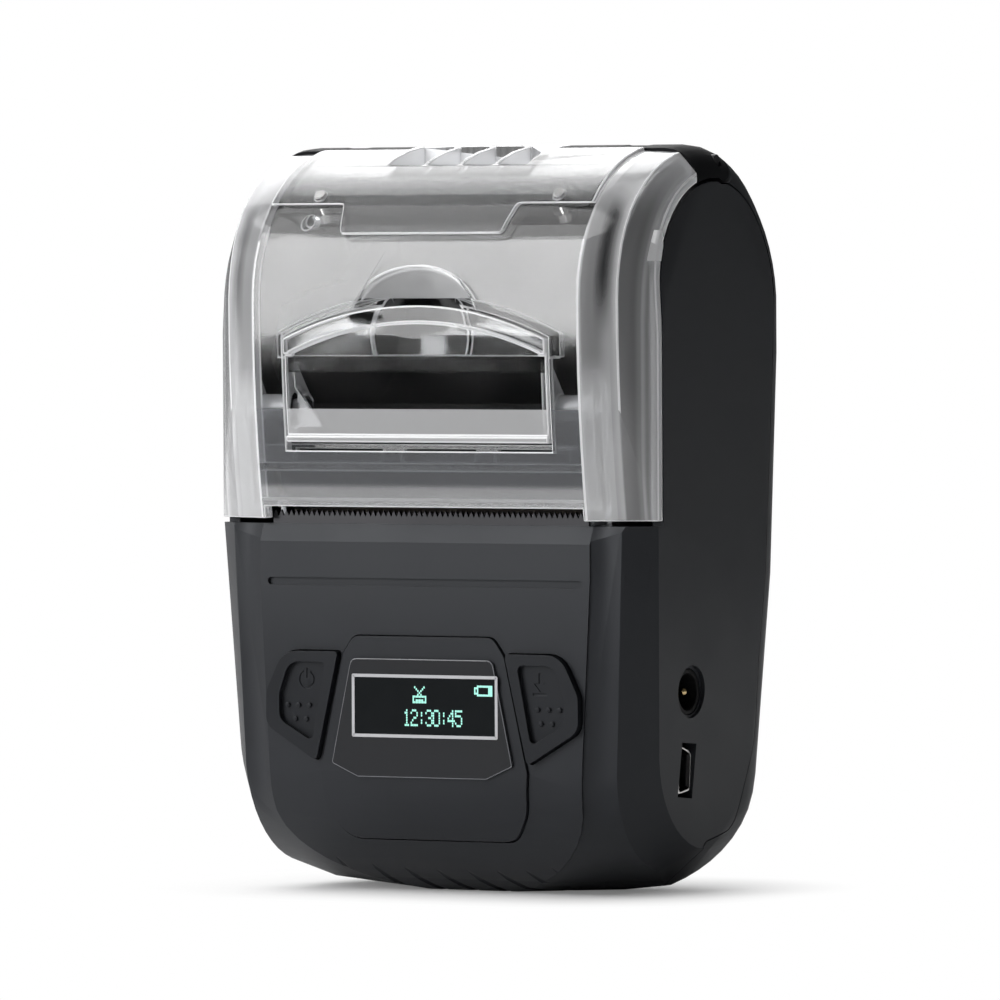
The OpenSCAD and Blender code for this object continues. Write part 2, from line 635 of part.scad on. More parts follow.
module cover_screws() color("#b4b6ba") both_sides() cover_screw_place() difference() {
    union() {
        cylinder(h = 3.4, r = 0.9, $fn = 32);
        translate([0, 0, cover_wall + 1.1]) cylinder(h = 1.2, r = 1.9, $fn = 40);
    }
    translate([-1.2, -0.2, cover_wall + 1.8]) cube([2.4, 0.4, 2]);
}

wing_z = lever_side_z - 3.6;
module release_lever() color([0.86, 0.88, 0.9, 0.4]) {
    difference() {
        intersection() {
            union() {
                cover_layer(-lever_w / 2, lever_w / 2, 0, lever_t - 0.4);
                intersection() {
                    cover_layer(-lever_w / 2, lever_w / 2, -lever_proud, lever_t);
                    along_y(-10, 10) union() {
                        difference() {
                            arch(0, window_z[1] + 0.3);
                            translate([0, -1.5]) arch(-1.2, 0);
                        }
                        pane(-lever_w / 2, lever_w / 2, lever_low_z, lever_low_z + 1.1);
                    }
                }
            }
            along_y(-10, 10) arch(0, lever_low_z);
        }
        at(0, cover_front(lever_top_z) + dish_depth - 0.1 - dish_ball, lever_top_z + 4.2) sphere(r = dish_ball, $fn = 240);
    }
    both_sides() difference() {
        union() {
            along_x(lever_w / 2 - 1.2, lever_w / 2 - 0.05)
                polygon([[cover_front(wing_z) + 0.5, wing_z], [cover_front(wing_z) + 2.4, wing_z],
                    [lever_axis_d + 2, lever_axis_z + 1.3], [lever_axis_d, lever_axis_z], [lever_axis_d - 1, lever_axis_z - 2.2],
                    [cover_front(lever_low_z) + 0.8, lever_low_z + 0.2], [cover_front(lever_axis_z) + 0.5, lever_axis_z - 0.7]]);
            x_rod(boss_r, lever_w / 2 - 1.4, arm_x - 0.2, lever_axis);
            x_rod(1.2, arm_x - 2.6, arm_x + arm_t, lever_axis);
        }
        x_rod(1.5, 0, arm_x - 2.8, lever_axis);
    }
    along_y(-1.2, 0.6) polygon([[-lever_w / 2 + 0.5, lever_low_z + 9.6], [-lever_w / 2 + 0.5, lever_low_z + 2.8],
        [-lever_w / 2 + 5.6, lever_low_z + 2.8]]);
}

module platen_roller() color("#2b2b2d") difference() {
    x_rod(platen_r, -platen_len / 2, platen_len / 2, platen_axis, 96);
    x_rod(shaft_r, -far, far, platen_axis);
}
module platen_shaft() color("#c6c8cc") difference() {
    x_rod(shaft_r, gear_x - 0.4, arm_x + arm_t + 0.3, platen_axis);
    block(gear_x - 1, gear_x + gear_t, 0, platen_d - shaft_r * 0.7, 0, far);
}
module platen_bushes() color("#e8e4d8") both_sides() difference() {
    union() {
        x_rod(3.2, arm_x - 1.5, arm_x + arm_t, platen_axis, 64);
        x_rod(3.9, arm_x + arm_t, arm_x + arm_t + 0.2, platen_axis, 64);
    }
    x_rod(shaft_r + 0.04, 0, far, platen_axis);
}

// Gear train: pitch radii, places and tooth phases that keep it in mesh
gear_x = -arm_x - arm_t - 0.3 - gear_t;
platen_turn = -22.6;
idler_turn = -62;
idler_axis = platen_axis + gear_m * (platen_teeth + idler_teeth) / 2 * [cos(platen_turn), sin(platen_turn)];
motor_axis = idler_axis + gear_m * (idler_teeth + pinion_teeth) / 2 * [cos(idler_turn), sin(idler_turn)];
idler_phase = platen_turn + 180 * (1 + 1 / idler_teeth);
idler_lag = idler_turn - idler_phase;
pinion_phase = idler_turn + 180 * (1 + 1 / pinion_teeth) + idler_lag * idler_teeth / pinion_teeth;
// One gear, its teeth as four-cornered steps, a tooth pointing at the phase angle
module gear(n, axis, phase, hole) {
    r = gear_m * n / 2;
    half = [0.62, 0.44, 0.2] * gear_m * 180 / PI;
    difference() {
        along_x(gear_x, gear_x + gear_t) translate(axis) polygon([for (i = [0:n - 1]) each
            let (a = phase + i * 360 / n, low = r - 1.15 * gear_m, high = r + 0.9 * gear_m)
            [for (q = [[low, -1.35 * half[0] / low], [r, -1.45 * half[1] / r], [high, -2 * half[2] / high],
                       [high, 2 * half[2] / high], [r, 1.45 * half[1] / r], [low, 1.35 * half[0] / low]])
                q[0] * [cos(a + q[1]), sin(a + q[1])]]]);
        x_rod(hole, -far, far, axis);
    }
}
module platen_gear() color("#e6e2d4") gear(platen_teeth, platen_axis, platen_turn, shaft_r);
module idler_gear() color("#e6e2d4") gear(idler_teeth, idler_axis, idler_phase, 1.05);
module motor_pinion() color("#c9a24a") {
    gear(pinion_teeth, motor_axis, pinion_phase, 0.75);
    x_rod(0.75, gear_x - 0.3, -frame_x1 + 0.6, motor_axis);
}
module idler_axle() color("#b8bcc2") union() {
    x_rod(1, gear_x - 0.4, -frame_x1 + 0.2, idler_axis);
    x_rod(1.6, gear_x - 1, gear_x - 0.4, idler_axis);
    x_rod(1.9, gear_x + gear_t + 0.1, -frame_x1 - frame_t, idler_axis);
}

frame_x1 = platen_len / 2 + 0.8;
frame_t = 1;
motor_x = 12.6 - frame_x1;
module print_frame() color("#8f9398") difference() {
    union() {
        both_sides() along_x(frame_x1, frame_x1 + frame_t) frame_side();
        along_x(-frame_x1 - frame_t, -frame_x1) translate(motor_axis) circle(r = motor_r + 0.3, $fn = 64);
        block(-frame_x1 - 0.1, frame_x1 + 0.1, 6, 14.2, deck_z, deck_z + 1);
        block(motor_x + 1.6, frame_x1 + 0.1, 14, 24, deck_z, deck_z + 1);
        at_frame_holes() translate([-4.8, -2.4, deck_z]) cube([7.2, 4.8, 1]);
    }
    x_rod(3.3, -far, far, platen_axis, 64);
    x_rod(1.2, -far, -frame_x1 + 1, motor_axis);
    x_rod(1, -far, -frame_x1 + 1, idler_axis);
    at_frame_holes() translate([0, 0, deck_z - 6]) cylinder(h = 10, r = 1.15, $fn = 32);
    both_sides() x_rod(0.95, frame_x1 - 1, frame_x1 + 3, head_pivot);
}
module frame_side() polygon([[6, deck_z], [6.9, platen_z - 4.5], [10.7, platen_z + 4.5], [14, platen_z + 4.5], [24, platen_z - 0.2],
    [24, deck_z]]);
module frame_screws() color("#b4b6ba") at_frame_holes() difference() {
    union() {
        translate([0, 0, deck_z + 1]) cylinder(h = 1, r = 1.8, $fn = 40);
        translate([0, 0, deck_z - 2.6]) cylinder(h = 4, r = 0.9, $fn = 32);
    }
    translate([-1.2, -0.2, deck_z + 1.5]) cube([2.4, 0.4, 1]);
}

// The print head lies along the roller's underside, tipped up towards the back
head_tip = 20;
head_touch = platen_axis + (platen_r + 0.04) * [sin(head_tip), -cos(head_tip)];
head_back = 10.2;
head_pivot = head_touch + [head_back * cos(head_tip) + 1.9 * sin(head_tip), head_back * sin(head_tip) - 1.9 * cos(head_tip)];
module head_slab(x, a, b, k0, k1) along_x(-x, x) translate(head_touch) rotate(head_tip) pane(a, b, -k1, -k0);
module thermal_head() color("#d9d4c6") head_slab(frame_x1 - 1.1, -3.4, 7, 0, 1);
module head_heatsink() color("#9aa0a6") difference() {
    union() {
        head_slab(frame_x1 - 1.1, -3.4, 11.4, 1, 2.8);
        x_rod(0.9, -frame_x1 - frame_t, frame_x1 + frame_t, head_pivot);
    }
    for (x = [-22:5.5:22]) block(x - 0.9, x + 0.9, 0, far, 0, head_touch.y - 2.5);
}
spring_d = 12.6;
spring_top = head_touch.y + (spring_d - head_touch.x) * tan(head_tip) - 2.8 / cos(head_tip) - 0.75;
spring_h = spring_top - deck_z - 1;
module head_springs() color("#b8bcc2") for (x = [-19.3, 0, 19.3]) at(x, spring_d, deck_z + 1) difference() {
    cylinder(h = spring_h, r = 2, $fn = 40);
    translate([0, 0, -1]) cylinder(h = 9, r = 1.5, $fn = 40);
    for (i = [0:1]) translate([0, 0, spring_h * (0.2 + i * 0.35)]) rotate([0, 0, i * 180])
        translate([-1.2, -3, 0]) cube([4, 6, spring_h * 0.18]);
}
module stepper_motor() color("#7d8187") difference() {
    union() {
        x_rod(motor_r, motor_x - motor_len, motor_x, motor_axis, 72);
        x_rod(motor_r - 2, motor_x - 0.1, motor_x + 1, motor_axis);
        x_rod(2.4, -frame_x1, motor_x - motor_len + 0.1, motor_axis);
    }
    x_rod(0.8, -far, -frame_x1 + 1.1, motor_axis);
}

ramp_top = [top_r - cradle_r * cos(55) + 0.5, crown_z - cradle_r * sin(55) + 0.3];
ramp_way = unit([2.6, -7.8]);
cradle_x = platen_len / 2 + 1.9;
module paper_cradle() color("#1d1f22") difference() {
    union() {
        along_x(-cradle_x, cradle_x) difference() {
            intersection() {
                translate([top_r, crown_z]) circle(r = cradle_r, $fn = 144);
                polygon([[top_r, crown_z], [top_r - 60 * cos(55), crown_z - 60 * sin(55)],
                    [120, -far], [120, crown_z + 96]]);
            }
            translate([top_r, crown_z]) circle(r = cradle_r - cradle_t, $fn = 144);
        }
        both_sides() along_x(cradle_x - cradle_t, cradle_x) intersection() {
            translate([top_r, crown_z]) circle(r = cradle_r - 0.2, $fn = 144);
            polygon([[top_r - 60 * cos(55), crown_z - 60 * sin(55)], [120, -far], [120, crown_z + 60], [42, crown_z + 15],
                [top_r, crown_z + 3], [top_r - 16, crown_z - 1]]);
        }
        along_x(1.5 - cradle_x, cradle_x - 1.5) polygon([ramp_top - [1, 0.4], ramp_top, ramp_top + 8.2 * ramp_way, ramp_top + 8.2 * ramp_way - [1, 0.4]]);
        both_sides() for (z = [crown_z - 14, crown_z - 2]) block(cradle_x - 0.1, half_w - wall, 26, 36, z, z + 1.4);
    }
    block(6.4, 9.6, ramp_top.x - 2, ramp_top.x + 4, ramp_top.y - 6.1, ramp_top.y - 2.9);
}
module paper_sensor() color("#2a2c30") along_x(5.6, 10.4) polygon([for (q = [[2.4, 0], [2.4, 1.4], [6.6, 1.4], [6.6, 0]])
    ramp_top + q.x * ramp_way + (q.y + 0.01) * [-ramp_way.y, ramp_way.x]]);

module display_bezel() color("#1b1c1f") difference() {
    union() {
        intersection() {
            low_layer(-20, 20, -0.4, 2.3);
            along_y(-2, 14) island_outline(key_gap);
        }
        block(-8, 8, 2, 3.7, 39.5, island_top - 0.4);
        block(-8, 8, 2.9, 3.7, 39.5, island_top + 1.6);
        intersection() {
            low_layer(-8, 8, 2.2, 4.4);
            block(-8, 8, 0, 30, island_low + key_gap, 10.4);
        }
        intersection() {
            low_layer(-8, 8, 3.2, 4.4);
            block(-8, 8, 0, 30, 5.8, 10.4);
        }
    }
    block(-12.4, 12.4, -2, 4, 25.4, 33.8);
    block(-13.7, 13.7, 0, 4, 23.3, 35.7);
}
module display_label() color("#0e0f11") difference() {
    intersection() {
        along_y(-2, 2) label_outline();
        block(-20, 20, -0.4 - label_t, -0.4, 0, 60);
    }
    block(-frame_x + 0.95, frame_x - 0.95, -2, 1, frame_low + 0.95, frame_top - 0.95);
}
module display_window() color([0.2, 0.22, 0.25, 0.5])
    block(-frame_x + 1, frame_x - 1, -0.4 - label_t, -0.4, frame_low + 1, frame_top - 1);
module display_module() color("#15181c") union() {
    block(-13.4, 13.4, 0.02, 1.5, 23.6, 35.4);
    block(-12.2, 12.2, -0.38, 0.1, 25.6, 33.6);
}

// One key: a raised rim round a sunken pad with pips, and a bar behind the wall that holds it in
module key() difference() {
    union() {
        along_y(-key_proud, 3.1) key_outline(key_gap);
        block(21.4, 24.4, 3.1, 3.9, 19.6, 40);
        y_rod(1.5, 3.8, 4.6, key_mid.x, key_mid.y);
        for (p = key_pips) y_rod(0.35, -key_proud + 0.4, 0, p.x, p.y, 24);
    }
    difference() {
        along_y(-key_proud - 1, -key_proud + 0.8) polygon(rounded(pad_corners, [0.8, 2.4, 2, 2, 0.8]));
        for (p = key_pips) y_rod(0.4, -key_proud + 0.5, 0, p.x, p.y, 24);
    }
}
key_pips = [[21, 29.6], [23, 29.6], [25, 29.6], [21.6, 27.4], [23.6, 27.4]];
sign_at = [21.4, 33.7];
module feed_button() color("#1f2124") difference() {
    key();
    along_y(-1, -key_proud + 0.95) translate(sign_at) {
        pane(-0.25, 0.25, -0.2, 1.6);
        polygon([[-1.1, 0], [1.1, 0], [0, -1.3]]);
        pane(-1.3, 1.3, -1.9, -1.5);
    }
}
module power_button() color("#1f2124") difference() {
    mirror([1, 0, 0]) key();
    along_y(-1, -key_proud + 0.95) translate([-sign_at.x, sign_at.y]) {
        difference() {
            circle(r = 1.5, $fn = 40);
            circle(r = 1.15, $fn = 40);
            pane(-0.6, 0.6, 0, 3);
        }
        pane(-0.17, 0.17, 0.2, 1.8);
    }
}
module key_board() color("#1f5a3c") difference() {
    along_y(8.6, 9.6) difference() {
        polygon([[-20.4, 46], [20.4, 46], [28, 40], [28, 20], [25.6, 13.8], [-25.6, 13.8], [-28, 20], [-28, 40]]);
        for (s = [-1, 1]) for (p = key_board_holes) translate([s * p.x, p.y]) circle(r = 1, $fn = 32);
    }
}
module key_switches() color("#b9bcc0") both_sides() union() {
    block(key_mid.x - 3, key_mid.x + 3, 6.1, 8.6, key_mid.y - 3, key_mid.y + 3);
    y_rod(1.6, 4.8 + key_travel, 6.2, key_mid.x, key_mid.y);
}

board_t = 1.2;
module main_board() color("#1f5a3c") on_board() difference() {
    translate([0, board_t, 0]) rotate([90, 0, 0]) linear_extrude(board_t) difference() {
        polygon(mirrored([[board_x, 26.4], [board_x, -1], [board_x - 4, -9]]));
        pane(27.6, half_w, jack_z - usb_z - 4.6, jack_z - usb_z + 4.6);
        for (s = [-1, 1]) for (p = board_holes) translate([s * p.x, p.y]) circle(r = 1.15, $fn = 32);
    }
}
module board_chips() color("#17181a") on_board() {
    translate([-12, board_t, 4]) cube([10, 1.2, 10]);
    translate([6, board_t, 12]) cube([7, 1, 7]);
    translate([8, board_t, -4]) cube([5, 1, 4]);
    translate([-26, board_t, 16]) cube([6, 1.2, 4]);
}
module wireless_module() color("#2c6b8e") on_board() {
    translate([-28, -0.8, 8]) cube([13, 0.8, 17]);
    translate([-26.6, -2.4, 9.2]) cube([10.2, 1.65, 10]);
}
module buzzer() color("#141517") on_board() translate([4, 0, 18]) rotate([90, 0, 0]) difference() {
    cylinder(h = 3.6, r = 4.5, $fn = 64);
    translate([0, 0, 3]) cylinder(h = 2, r = 0.8, $fn = 32);
}
module board_screws() color("#b4b6ba") both_sides() {
    for (p = board_holes) on_board() translate([p.x, 0, p.y]) rotate([-90, 0, 0]) pan_screw(board_t, 4);
    for (p = key_board_holes) at(p.x, 0, p.y) rotate([-90, 0, 0]) pan_screw(9.6, 4);
}
// A pan-head screw along +Z, its head resting on height z, its shank l long below it
module pan_screw(z, l, r = 0.8) difference() {
    union() {
        translate([0, 0, z]) cylinder(h = 1, r = 1.8 * r / 0.8, $fn = 40);
        translate([0, 0, z - l]) cylinder(h = l + 0.1, r = r, $fn = 32);
    }
    translate([-r, -0.2, z + 0.5]) cube([2 * r, 0.4, 1]);
    translate([-0.2, -r, z + 0.5]) cube([0.4, 2 * r, 1]);
}
module case_screws() color("#55585c") both_sides() for (p = case_screws_at)
    at(p.x, 0, p.y) rotate([-90, 0, 0]) pan_screw(37.5, 14, 1.1);

jack_body = 3.9;
module dc_jack() color("#18191b") difference() {
    union() {
        block(27.8, jack_x - 2.3, jack_d - jack_body, jack_d + jack_body, jack_z - 4.3, jack_z + 4.3);
        x_rod(3.6, jack_x - 2.4, jack_x - 0.7, [jack_d, jack_z]);
    }
    x_rod(jack_r, 29, far, [jack_d, jack_z], 64);
}
module dc_pin() color("#d2b26a") union() {
    x_rod(jack_pin_r, 29, jack_x - 1.6, [jack_d, jack_z]);
    at(jack_x - 1.6, jack_d, jack_z) sphere(r = jack_pin_r, $fn = 32);
}
// The USB shell's section, in depth and height, g inside it
module usb_section(g) polygon(rounded([[-usb_w + g, -usb_h / 2 + g], [-g, -usb_h / 2 + 0.8 + g], [-g, usb_h / 2 - 0.8 - g],
    [-usb_w + g, usb_h / 2 - g]], [0.4, 0.6, 0.6, 0.4]));
module on_board_x(x0, x1) on_board() translate([x0, 0, 0]) rotate([90, 0, 90]) linear_extrude(x1 - x0) children();
module usb_socket() color("#c3c6ca") difference() {
    on_board_x(30, usb_x - 0.5) usb_section(0);
    on_board_x(31, far) usb_section(0.35);
}
module usb_tongue() color("#111214") on_board_x(31, usb_x - 1.8) pane(-usb_w / 2 - 0.5, -usb_w / 2 + 0.5, -2.6, 2.6);

module battery_pack() color("#3a3f46") block(-pack_w / 2, pack_w / 2, pack_d, pack_d + pack_t, pack_z, pack_z + pack_h);
module battery_contacts() color("#d2b26a") for (x = [-6, 0, 6])
    block(x - 1, x + 1, pack_d + 3, pack_d + 9, pack_z + pack_h, bay_high);
module battery_door() color("#1f2124") union() {
    difference() {
        intersection() {
            difference() {
                casing();
                casing(1.8);
            }
            along_y(28, far) pane(-bay_x + gap, bay_x - gap, bay_low + gap, bay_high - gap);
        }
        long_grip();
    }
    both_sides() x_rod(0.9, 8, 20, door_axis);
    both_sides() along_x(8, 20) pane(door_axis.x - 0.5, door_axis.x + 0.5, door_axis.y, bay_low + 1.2);
}
// Thumb groove near the top of the battery door
module long_grip() for (i = [0:2]) at(0, back_at(42 - i * 2) + 0.2, 42 - i * 2) rotate([0, 90, 0])
    cylinder(h = 16, r = 0.6, center = true, $fn = 24);

blade_teeth = floor(2 * blade_x / tooth_pitch);
module tear_blade() color("#d5d8dc") along_y(blade_d, blade_d + blade_t) polygon(concat([[blade_x, 54], [-blade_x, 54]],
    [for (i = [0:2 * blade_teeth]) [-blade_x + blade_x * i / blade_teeth, blade_top - (i % 2 == 0 ? tooth_h : 0)]]));

front_shell();
back_shell();
clear_cover();
hinge_bar();
hinge_pin();
cover_screws();
release_lever();
platen_roller();
platen_shaft();
platen_gear();
platen_bushes();
tear_blade();
print_frame();
frame_screws();
thermal_head();
head_heatsink();
head_springs();
stepper_motor();
motor_pinion();
idler_gear();
idler_axle();
paper_cradle();
paper_sensor();
display_bezel();
display_label();
display_window();
display_module();
key_board();
key_switches();
power_button();
feed_button();
main_board();
board_chips();
wireless_module();
buzzer();
dc_jack();
dc_pin();
usb_socket();
usb_tongue();
board_screws();
case_screws();
battery_pack();
battery_contacts();
battery_door();
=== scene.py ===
# %% [markdown]
# # A pocket receipt printer, rendered
#
# The printer is a palm-sized machine that stands on its short end. Its casing is black moulded
# plastic with a fine grain, and a clear, hinged cover with a frosted crown closes the paper bay.
# The frame, with every real piece in its real place, is loaded first. Then come the camera and
# the lights, the finishes, and at last the small pieces that only matter to the eye: a low wall
# behind the finger grip, a frosted tab on the cover's rim, the print round the display and the
# lit dots of the display.

# %% Load the frame
import json
import math

import bpy
from mathutils import Matrix, Vector


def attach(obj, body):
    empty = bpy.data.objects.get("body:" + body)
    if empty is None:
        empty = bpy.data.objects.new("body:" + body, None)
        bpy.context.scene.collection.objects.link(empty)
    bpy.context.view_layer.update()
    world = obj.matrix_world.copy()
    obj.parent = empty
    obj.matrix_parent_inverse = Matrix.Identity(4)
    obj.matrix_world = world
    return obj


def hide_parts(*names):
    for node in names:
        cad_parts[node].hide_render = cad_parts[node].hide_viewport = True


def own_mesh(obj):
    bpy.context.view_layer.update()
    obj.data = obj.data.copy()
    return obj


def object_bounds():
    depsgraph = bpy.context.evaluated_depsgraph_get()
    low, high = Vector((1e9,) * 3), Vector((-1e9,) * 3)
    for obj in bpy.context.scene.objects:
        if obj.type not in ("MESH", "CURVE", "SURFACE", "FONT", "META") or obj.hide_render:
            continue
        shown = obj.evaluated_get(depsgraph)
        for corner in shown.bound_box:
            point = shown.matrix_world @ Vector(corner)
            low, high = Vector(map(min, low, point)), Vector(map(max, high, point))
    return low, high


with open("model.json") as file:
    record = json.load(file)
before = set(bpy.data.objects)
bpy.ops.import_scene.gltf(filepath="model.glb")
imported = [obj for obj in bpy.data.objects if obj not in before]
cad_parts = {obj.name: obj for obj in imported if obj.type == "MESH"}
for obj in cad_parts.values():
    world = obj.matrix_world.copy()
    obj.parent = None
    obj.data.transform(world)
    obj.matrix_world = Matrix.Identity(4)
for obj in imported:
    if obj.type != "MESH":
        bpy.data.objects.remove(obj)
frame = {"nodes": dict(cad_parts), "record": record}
cad_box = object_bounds()
pieces = frame["nodes"]
scene = bpy.context.scene
mm = 0.001
low, high = cad_box
print("nodes:", len(pieces), "size in mm", [round((high[i] - low[i]) / mm, 1) for i in range(3)])

# %% [markdown]
# ## The camera
#
# The photograph was taken from the right of the front, a little above the middle, with a long
# lens: the edges that run away from the viewer hardly get closer together. The camera's place
# and its three turns were worked out from pairs of points whose real distances are known, such
# as the ends of the paper slot. A camera looks along its own -Z, so its matrix is built from
# its right, its up and the opposite of the way it looks.

# %% The camera, matched to the photograph
turn, tip, roll = math.radians(30.954), math.radians(1.381), math.radians(-0.2712)
ahead = Vector((-math.sin(turn) * math.cos(tip), math.cos(turn) * math.cos(tip), -math.sin(tip)))
right = Vector((math.cos(turn), math.sin(turn), 0))
up = right.cross(ahead)
camera_right = right * math.cos(roll) + up * math.sin(roll)
camera_up = up * math.cos(roll) - right * math.sin(roll)
bpy.ops.object.camera_add()
camera = bpy.context.object
camera.name = "camera"
camera.matrix_world = Matrix((camera_right, camera_up, -ahead)).transposed().to_4x4()
camera.location = (0.8585, -1.4303, 0.1019)
camera.data.lens = 378
camera.data.sensor_width = 36
camera.data.clip_end = 30
scene.camera = camera
scene.view_settings.view_transform = "Standard"
print("camera at", [round(v, 3) for v in camera.location], "lens", camera.data.lens, "mm")

# %% [markdown]
# ## Short names for the moves on a node tree
#
# Every finish below is a recipe of nodes: a few sums, a few ramps, a mix of two colours. Set up
# one by one they fill pages, and the idea drowns. So the moves that return again and again get a
# short name. The first two are the base of all the others: one fills in the inputs of a node
# with numbers, colours or other nodes' outputs, and the other adds a node and fills it in.

# %% Fill in and add nodes
def feed(tree, node, inputs):
    """Fill in a node: each input gets a colour, another plain value or another node's output."""
    for name, given in inputs.items():
        if isinstance(given, bpy.types.NodeSocket):
            tree.links.new(given, node.inputs[name])
        else:
            node.inputs[name].default_value = (*given, 1) if isinstance(given, tuple) else given
    return node


def add(tree, kind, inputs=None, **switches):
    node = tree.nodes.new(kind)
    for name, value in switches.items():
        setattr(node, name, value)
    return feed(tree, node, inputs or {})


def maths(tree, operation, *given):
    return add(tree, "ShaderNodeMath", dict(enumerate(given)), operation=operation).outputs[0]


print("moves:", [move.__name__ for move in (feed, add, maths)])

# %% [markdown]
# ## The white that only the eye sees
#
# A product is photographed on a white sheet that runs up behind it. Here the sheet is a plane,
# and the world behind it is plain white for the camera and for rays that only passed through
# clear plastic on their way. A mirrored ray finds a dim room instead, because the black plastic
# of the real printer mirrors a dark studio: with a white room all round, every black face would
# turn grey. The Light Path node tells these rays apart.

# %% The white room
def seen_directly(tree):
    """1 for a camera ray, or one that only passed clear plastic on its way; 0 for others."""
    path = add(tree, "ShaderNodeLightPath").outputs
    bounces = maths(tree, "ADD", path["Diffuse Depth"], path["Glossy Depth"])
    straight = maths(tree, "LESS_THAN", bounces, 0.5)
    passed = maths(tree, "MULTIPLY", straight, path["Is Transmission Ray"])
    return maths(tree, "MAXIMUM", path["Is Camera Ray"], passed)


def turn_white(tree, share, plain, white, output):
    """Let white take the place of the plain look, by the given share."""
    mix = add(tree, "ShaderNodeMixShader", {0: share, 1: plain.outputs[0], 2: white.outputs[0]})
    feed(tree, tree.nodes[output], {"Surface": mix.outputs[0]})


dim, bright = 0.07, 1.0
world = bpy.data.worlds.new("white_room")
scene.world = world
world.use_nodes = True
tree = world.node_tree
fill = feed(tree, tree.nodes["Background"], {"Color": (1, 1, 1), "Strength": dim})
white = add(tree, "ShaderNodeBackground", {"Color": (1, 1, 1), "Strength": bright})
turn_white(tree, seen_directly(tree), fill, white, "World Output")
print("world:", dim, "for mirrored and scattered rays,", bright, "where it is seen directly")

# %% [markdown]
# ## The floor
#
# Close to the printer the floor takes light and shadow as paper does. Further away it fades into
# the same white as the background, so no horizon shows. The fade starts at a small rectangle
# under the printer's foot, and it grows with the distance from that rectangle.

# %% The floor
def new_finish(name, inputs):
    """A material with its shader filled in, and the tree that goes on building it."""
    material = bpy.data.materials.new(name)
    material.use_nodes = True
    tree = material.node_tree
    return material, tree, feed(tree, tree.nodes["Principled BSDF"], inputs)


def between(tree, value, start, end, first=0.0, last=1.0, smooth=False):
    """As value goes from start to end, the result goes from first to last, and no further."""
    ends = {"Value": value, "From Min": start, "From Max": end, "To Min": first, "To Max": last}
    kind = "SMOOTHSTEP" if smooth else "LINEAR"
    return add(tree, "ShaderNodeMapRange", ends, interpolation_type=kind).outputs["Result"]


def vector_maths(tree, operation, *given):
    node = add(tree, "ShaderNodeVectorMath", dict(enumerate(given)), operation=operation)
    return node.outputs["Value" if operation == "LENGTH" else "Vector"]


bpy.ops.object.select_all(action="DESELECT")
bpy.ops.mesh.primitive_plane_add(size=8, location=(0, 0, 0))
floor = bpy.context.object
floor.name = "floor"
floor_paper = {"Base Color": (0.86, 0.86, 0.86), "Roughness": 0.9, "Specular IOR Level": 0.1}
paper, tree, shader = new_finish("white_paper", floor_paper)
half_foot = Vector((22 * mm, 10 * mm, 0))
folded = vector_maths(tree, "ABSOLUTE", add(tree, "ShaderNodeNewGeometry").outputs["Position"])
outside = vector_maths(tree, "SUBTRACT", folded, half_foot)
away = vector_maths(tree, "LENGTH", vector_maths(tree, "MAXIMUM", outside, Vector((0, 0, 0))))
fade = between(tree, away, 0, 35 * mm, 0.15, 1.0, smooth=True)
white = add(tree, "ShaderNodeEmission", {"Color": (1, 1, 1)})
share = maths(tree, "MULTIPLY", fade, seen_directly(tree))
turn_white(tree, share, shader, white, "Material Output")
floor.data.materials.append(paper)
print("floor", floor.dimensions[:])

# %% [markdown]
# ## The lights
#
# On glossy and clear plastic you don't see the light fall, you see the lamp itself in the
# surface. So each lamp is placed by the direction in which the camera would see it mirrored.
# The front faces mirror a place to the left of the camera: the main softbox stands there and
# gives the front its even grey and the cover its broad pale field. Above it the room is dark
# for a while, which makes the grey band across the crown. The upper softbox and the one behind
# the printer make the crown's top pale again. To the right it stays dark, so the side face is
# the darkest. Two weak fills lift the shadows from the left and from above. A lamp's power is
# its brightness times its size, so a lamp can grow without getting brighter in a mirror.

# %% Softboxes
printer_middle = Vector((0, 0, 60 * mm))


def softbox(name, azimuth, elevation, distance, width, height, brightness):
    light = bpy.data.lights.new(name, "AREA")
    light.shape = "RECTANGLE"
    light.size = width
    light.size_y = height
    light.energy = brightness * math.pi * width * height
    lamp = bpy.data.objects.new(name, light)
    scene.collection.objects.link(lamp)
    a, e = math.radians(azimuth), math.radians(elevation)
    out = Vector((math.sin(a) * math.cos(e), -math.cos(a) * math.cos(e), math.sin(e)))
    lamp.location = out * distance + printer_middle
    lamp.rotation_mode = "QUATERNION"
    lamp.rotation_quaternion = out.to_track_quat("Z", "Y")
    print(name, "at", [round(v, 2) for v in lamp.location], "brightness", brightness)


softbox("main_softbox", -38, 21.5, 1.5, 0.75, 1.3, 7.0)
softbox("back_softbox", -132, 36, 1.5, 1.6, 1.3, 3.2)
softbox("upper_softbox", -50, 53, 1.5, 0.9, 0.45, 2.4)
softbox("top_fill", 20, 88, 1.5, 1.0, 1.0, 1.2)
softbox("left_fill", -88, 10, 1.6, 0.7, 0.8, 1.0)

# %% [markdown]
# ## The black card
#
# The floor in front would be mirrored in the cover's flap as a grey sheet, and the dark window
# of the paper bay would wash out. Photographers lay black felt on the table for that, just out
# of the picture. The card starts 84 mm to the left of the middle, as the camera sees it. It
# shows white where it is seen directly, so other views of the printer don't show it either.

